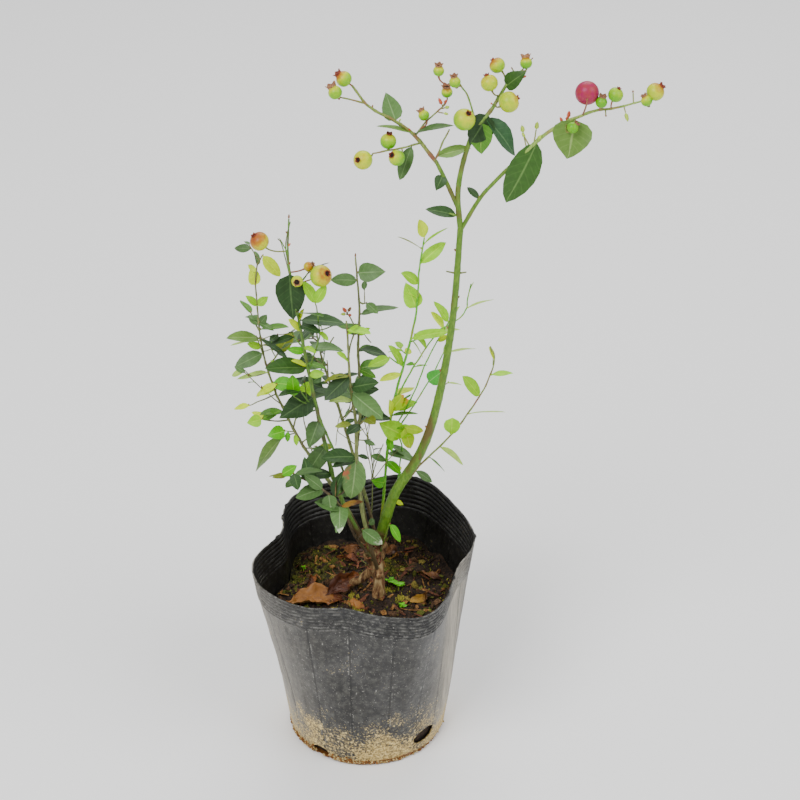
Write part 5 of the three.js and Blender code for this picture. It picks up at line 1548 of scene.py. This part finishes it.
class Mass:
    def __init__(self, name):
        self.name, self.plan = name, masses[name]
        start = [] if self.plan.get("fromSide") else [limbs[self.plan["limb"]][0][-1]]
        self.stem = curveThrough(start + self.plan["points"])
        self.stemPoints = self.stem(np.linspace(0, 1, roomSizes["stemPoints"] + 1))
        self.twigs, self.leaves, self.fruit, self.buds, self.bearing = [], [], [], [], set()
        shares = np.linspace(0, 1, roomSizes["stemBalls"] + 1)
        room.take(self.stem(shares), lerp(*self.plan["radius"], shares) + roomSizes["twig"], name)
        self.addNamed(self.stem, self.plan, name)
        for i, sprig in enumerate(self.plan.get("sprigs", [])):
            curve = curveThrough(sprig["points"])
            self.addTwig(curve, name + str(i), sprig.get("thin", 1))
            self.addNamed(curve, sprig, name + str(i))

    def addTwig(self, curve, owner, thin=1.0):
        shares = np.linspace(0, 1, roomSizes["twigBalls"] + 1)
        room.take(curve(shares), twigRadius(shares) + roomSizes["twig"], owner)
        self.twigs.append((curve, owner, thin))

    def addLeaf(self, leaf, owner, named=True):
        balls = leafBalls(leaf)
        room.take(balls, roomSizes["leaf"], owner)
        if leaf["tone"] and (named or not closesOpening(balls)):
            self.leaves.append(leaf)
            self.bearing.add(owner)

    def fits(self, centres, radii, carriers):
        # within reach of the stem, clear of the pot, and clear of all but what carries it
        near = np.linalg.norm(centres[:, None] - self.stemPoints[None], axis=2).min(axis=1) < self.plan["reach"]
        return bool((clearOfPot(centres) & near).all()) and room.isFree(centres, radii, carriers)

    def isBare(self, owner):
        # a twig of the rules that has no leaf left
        return ("rule" in owner or "fine" in owner) and owner not in self.bearing

    def addNamed(self, curve, plan, owner):
        for entry in plan.get("leaves", []):
            self.addLeaf(leafOf(curve, entry), owner)
        for along, turn, rise, stalk, diameter, *look in plan.get("fruit", []):
            root = curve(along)
            centre = root + direction(turn, rise) * stalk
            room.take(centre[None], diameter / 2 + roomSizes["twig"], owner)
            self.fruit.append((root, centre, diameter / 2, look))
        self.buds += [(curve, *bud) for bud in plan.get("buds", [])]

    def grow(self):
        # the source's rule, so that the same twigs and leaves stand as in its solids
        if "rule" not in self.plan:
            return
        seed, twigs, twigLength, leafLength, first, lowest, highest = self.plan["rule"]
        tones = self.plan["tones"]
        for i in range(twigs):
            within = spanDraw(randomFrom(seed + 101 * i))
            along = lerp(lowest, highest, (i + 0.5) / twigs)
            turn = first + growth["golden"] * i + within(growth["turn"])
            rise = within(growth["rise"])
            length = twigLength * lerp(*growth["shrink"], along) * within(growth["length"])
            root = self.stem(along)
            tip = root + direction(turn, rise) * length
            curve = curveThrough([root, (root + tip) / 2 - up * length * leafTwigs["sag"], tip])
            owner = self.name + "rule" + str(i)
            shares = np.linspace(0, 1, roomSizes["twigBalls"] + 1)
            free = slice(math.ceil(len(shares) * roomSizes["root"]), None)
            centres, radii = curve(shares)[free], (twigRadius(shares) + roomSizes["twig"])[free]
            grows = self.fits(centres, radii, [self.name])
            if grows:
                self.addTwig(curve, owner)
            roots = [curve(share) for share in growth["leafShares"]] if grows else [root]
            for k, leafRoot in enumerate(roots):
                leaf = {"root": leafRoot, "turn": turn + growth["leafSides"][k] + within(growth["leafTurn"]),
                        "rise": rise * growth["leafRiseShare"] + within(growth["leafRise"]),
                        "length": leafLength * within(growth["leafLength"]),
                        "roll": within(growth["leafRoll"]), "tone": tones[(i + k) % len(tones)]}
                leaf["width"] = leaf["length"] * within(growth["leafWidth"])
                balls = leafBalls(leaf)
                if self.fits(balls, roomSizes["leaf"], [owner]):
                    self.addLeaf(leaf, owner, False)

    def addMore(self):
        for entry in self.plan.get("more", []):
            self.addLeaf(leafOf(self.stem, entry), self.name)
        for i, sprig in enumerate(self.plan.get("moreSprigs", [])):
            curve = curveThrough(sprig["points"])
            owner = self.name + "more" + str(i)
            if not sprig.get("bare"):
                self.addTwig(curve, owner, sprig.get("thin", 0.85))
            self.addNamed(curve, sprig, owner)


# finer growth: small leaves and twiglets by the same turning rule on every stem and twig
finer = {
    "count": {"foliage_left": 26, "foliage_outer": 16, "foliage_front": 12, "foliage_inner": 22,
              "foliage_back": 60, "foliage_low": 8, "shoot_centre": 8},
    "seed": 900, "along": (0.08, 0.82), "away": (15, 165),  # most of it turns to the far side of its stem
    "around": (0, 360), "awayShare": 0.8, "rise": (-15, 55), "leafLength": (7, 13), "width": (0.42, 0.58),
    "roll": (-50, 50), "leafRise": (-20, 15), "leafRoom": 1.0,
    "twigShare": 0.35, "twigLength": (8, 15), "twigSag": 0.06, "twigRoom": 1.2, "twigThin": 0.7,
    "leafShares": (0.5, 0.8, 1.0), "leafSides": (-55, 55, 0),
}


def growFiner(mass):
    carriers = [(mass.stem, mass.name)] * 3 + [(curve, owner) for curve, owner, thin in mass.twigs]
    for i in range(finer["count"].get(mass.name, 0)):
        random = randomFrom(finer["seed"] + 37 * i + len(mass.name))
        within = spanDraw(random)
        curve, owner = carriers[int(random() * len(carriers))]
        along = within(finer["along"])
        turnsAway = random() < finer["awayShare"] or mass.name != "foliage_back"
        turn = within(finer["away" if turnsAway else "around"])
        rise = within(finer["rise"])
        root = curve(along)
        roots, turns = [root], [turn]
        if random() < finer["twigShare"]:
            length = within(finer["twigLength"])
            tip = root + direction(turn, rise) * length
            twiglet = curveThrough([root, (root + tip) / 2 - up * length * finer["twigSag"], tip])
            shares = np.linspace(0.3, 1, 9)
            if mass.fits(twiglet(shares), finer["twigRoom"], [owner]):
                owner = mass.name + "fine" + str(i)
                mass.addTwig(twiglet, owner, finer["twigThin"])
                roots = [twiglet(share) for share in finer["leafShares"]]
                turns = [turn + side for side in finer["leafSides"]]
        for leafRoot, leafTurn in zip(roots, turns):
            leaf = {"root": leafRoot, "turn": leafTurn, "rise": rise * 0.6 + within(finer["leafRise"]),
                    "length": within(finer["leafLength"]), "roll": within(finer["roll"]),
                    "tone": mass.plan["tones"][int(random() * len(mass.plan["tones"]))]}
            leaf["width"] = leaf["length"] * within(finer["width"])
            balls = leafBalls(leaf)
            if mass.fits(balls, finer["leafRoom"], [owner]):
                mass.addLeaf(leaf, owner, False)


def berryTemplate():
    # a berry modelled once: a ball whose top is drawn up into a ring of five lobes round a hollow
    clearSelection()
    bpy.ops.mesh.primitive_uv_sphere_add(segments=30, ring_count=14, radius=1, location=(0, 0, 0))
    berry = bpy.context.object
    for polygon in berry.data.polygons:
        polygon.select = polygon.center.z > 0.9
    bpy.ops.object.mode_set(mode="EDIT")
    bpy.ops.mesh.select_mode(type="FACE")
    bpy.ops.mesh.inset(thickness=0.03, depth=0)
    bpy.ops.mesh.extrude_region_move(TRANSFORM_OT_translate={"value": (0, 0, 0.14)})
    bpy.ops.transform.resize(value=(1.12, 1.12, 0.2))
    bpy.ops.mesh.extrude_region_move(TRANSFORM_OT_translate={"value": (0, 0, 0.12)})
    bpy.ops.transform.resize(value=(1.1, 1.1, 1))
    bpy.ops.mesh.inset(thickness=0.06, depth=0)
    bpy.ops.mesh.extrude_region_move(TRANSFORM_OT_translate={"value": (0, 0, -0.3)})
    bpy.ops.transform.resize(value=(0.8, 0.8, 1))
    bpy.ops.object.mode_set(mode="OBJECT")
    points, faces = asArrays(berry)
    radius, angle = np.hypot(points[:, 0], points[:, 1]), np.arctan2(points[:, 1], points[:, 0])
    lobe = 0.5 + 0.5 * np.cos(5 * angle)
    onRim = (points[:, 2] > 1.12) & (radius > 0.3)
    points[:, 2] += np.where(onRim, lobe * 0.16 - 0.1, 0)
    points[:, :2] *= np.where(onRim, 0.9 + 0.22 * lobe, 1)[:, None]
    kinds = []
    for face in faces:
        middle = points[list(face)].mean(axis=0)
        out = np.hypot(middle[0], middle[1])
        crown = middle[2] > 0.93 or (out < 0.4 and middle[2] > 0.8)
        kinds.append("calyxDark" if crown and out < 0.34 else "calyx" if crown else "berry")
    return points, faces, kinds


berryPoints, berryFaces, berryKinds = berryTemplate()


fruitSizes = {
    "young": 4.3, "youngCrown": 1.3,  # below this radius a berry still carries the whole cup of its flower
    "crownFrom": 0.9, "squash": 0.06, "drawn": 0.97, "stalk": 0.5, "stalkFlare": 0.3,
}


def addFruit(fruits, twigs, root, centre, radius, look, draw):
    size = fruitSizes
    calyxTurn, calyxRise, low, high, crown = look
    along, side, face = turnedFrame(calyxTurn, calyxRise, draw.uniform(0, 72))
    shape = berryPoints.copy()
    big = radius > size["young"]
    top = shape[:, 2] > size["crownFrom"]
    crownFoot = (0, 0, size["crownFrom"])
    shape[top] = (shape[top] - crownFoot) * (crown if big else crown * size["youngCrown"]) + crownFoot
    shape[:, 2] *= np.where(top, 1, 1 - size["squash"] * shape[:, 2] ** 2)
    ripe = lerp(low, high, smoothstep(shape[:, 2], -0.3, 1.1))
    placed = centre + radius * size["drawn"] \
        * (shape[:, :1] * face + shape[:, 1:2] * side + shape[:, 2:] * along)
    kinds = berryKinds if big else ["calyxYoung" if kind == "calyx" else kind for kind in berryKinds]
    fruits.add(placed, berryFaces, kinds, shade=ripe)
    foot = centre - along * radius * 0.9
    far = np.linalg.norm(foot - root)
    middle = foot - along * far * 0.45
    shares = np.linspace(0, 1, 10)[:, None]
    path = root * (1 - shares) ** 2 + middle * 2 * shares * (1 - shares) + foot * shares ** 2
    thick = size["stalk"] + size["stalkFlare"] * smoothstep(shares[:, 0], 0.82, 1)
    twigs.add(*tube(path, thick, 6), "twigRed" if draw.random() < 0.5 else "twigGreen", shade=0.5)


stemSizes = {"ringEvery": 1.6, "nodeEvery": 9, "nodeOut": 0.22, "nodeHalf": 1.1, "wobble": 0.35, "wobbleSize": 7}


def stemTube(bundle, curve, radii, kind):
    # a thin stem that swells at its nodes and wobbles between its ends
    size = stemSizes
    length = lengthOf(curve, 30)
    shares = np.linspace(0, 1, max(6, int(length / size["ringEvery"])))
    nodes = max(1, round(length / size["nodeEvery"]))
    swell = np.exp(-((((shares * nodes) % 1) - 0.5) * length / nodes / size["nodeHalf"]) ** 2)
    thick = lerp(*radii, shares) * (1 + size["nodeOut"] * swell)
    path = curve(shares)
    wobble = np.column_stack([roughly(path, size["wobbleSize"], seed) for seed in (1.1, 4.2, 8.3)])
    ends = smoothstep(shares, 0, 0.15) * (1 - smoothstep(shares, 0.85, 1))
    path = path + wobble * size["wobble"] * ends[:, None]
    shade = np.clip(0.35 + roughly(path, 6, 3.3) * 0.5, 0, 1)
    sides = 8 if radii[0] > 0.8 else 6
    bundle.add(*tube(path, thick, sides), kind, shade=np.repeat(shade, sides))


# everything that is solid in the source first, in its order, so that the rule meets the same neighbours
for name, (points, (rootRadius, tipRadius), kind) in limbs.items():
    shares = np.linspace(0, 1, len(points) * roomSizes["limbBalls"] + 1)
    room.take(limbCurves[name](shares), lerp(rootRadius, tipRadius, shares) + roomSizes["twig"], name)
grown = [Mass(name) for name in masses]
for step in (Mass.grow, Mass.addMore, growFiner):
    for mass in grown:
        step(mass)
print("growth worked out")


def buildMass(mass):
    draw = np.random.default_rng(len(mass.name) * 17 + len(mass.leaves))
    young = mass.name.startswith("shoot")
    slot = "young_foliage" if young else "foliage"
    bark = mass.plan["bark"]
    twigs, leaves, fruits = Bundle(), Bundle(), Bundle()
    if mass.plan.get("drawStem", True):
        stemTube(twigs, mass.stem, mass.plan.get("drawn", mass.plan["radius"]), bark)
    for curve, owner, thin in mass.twigs:
        if thin and not mass.isBare(owner):
            stemTube(twigs, curve, (leafTwigs["radius"] * thin, leafTwigs["tipRadius"] * thin), bark)
    for curve, along, turn, rise, stalk, length, width, kind in mass.buds:
        root, out = curve(along), direction(turn, rise)
        if stalk:
            twigs.add(*tube([root, root + out * stalk * 0.5 - up * 0.2, root + out * stalk], 0.42, 6), bark)
        addBud(twigs, root + out * stalk, out, length, width, kind, draw.uniform(0.3, 0.8))
    for leaf in mass.leaves:
        addBlade(leaves, leaf, draw)
        if leaf["length"] > bladeSizes["smallBelow"]:
            bud = leaf["root"] + direction(leaf["turn"], leaf["rise"]) * 0.4
            addBud(twigs, bud, direction(leaf["turn"], 70), 1.6, 1.0, "budGreen" if young else "budBrown",
                   draw.uniform(0.2, 0.8))
    for root, centre, radius, look in mass.fruit:
        addFruit(fruits, twigs, root, centre, radius, look, draw)
    twigs.makePiece("twigs_" + mass.name, mass.name, slot)
    if mass.leaves:
        leaves.makePiece("leaves_" + mass.name, mass.name, slot)
    if mass.fruit:
        fruits.makePiece("fruit_" + mass.name, mass.name)


for mass in grown:
    buildMass(mass)
print("leaves, twigs and fruit built:", sum(len(mass.leaves) for mass in grown), "leaves")

# stage: a pale floor, soft studio light, and the camera

clearSelection()
bpy.ops.mesh.primitive_plane_add(size=stage["floor"], location=(0, 0, -0.0005))
floor = bpy.context.object
floor.name = "floor"
paper = newMaterial("paper_matt_white", 0.9)[0]
shaderInputs(paper)["Base Color"].default_value = linear("#f6f6f6")
floor.data.materials.append(paper)
world = bpy.data.worlds.new("studio")
bpy.context.scene.world = world
world.use_nodes = True
sky = world.node_tree.nodes["Background"].inputs
sky["Color"].default_value = (1, 1, 1, 1)
sky["Strength"].default_value = stage["sky"]
for place, power, size in stage["lights"]:
    clearSelection()
    bpy.ops.object.light_add(type="AREA", location=place)
    lamp = bpy.context.object
    lamp.data.energy, lamp.data.size = power, size
    aim = np.array((0, 0, 0.2)) - place
    lamp.rotation_euler = (math.atan2(math.hypot(aim[0], aim[1]), -aim[2]), 0,
                           math.atan2(aim[1], aim[0]) - math.pi / 2)
bpy.ops.object.camera_add(location=stage["camera"], rotation=(math.radians(stage["tilt"]), 0, 0))
camera = bpy.context.object
camera.data.lens = stage["lens"]
camera.data.sensor_width = stage["sensor"]
bpy.context.scene.camera = camera
print("stage set")
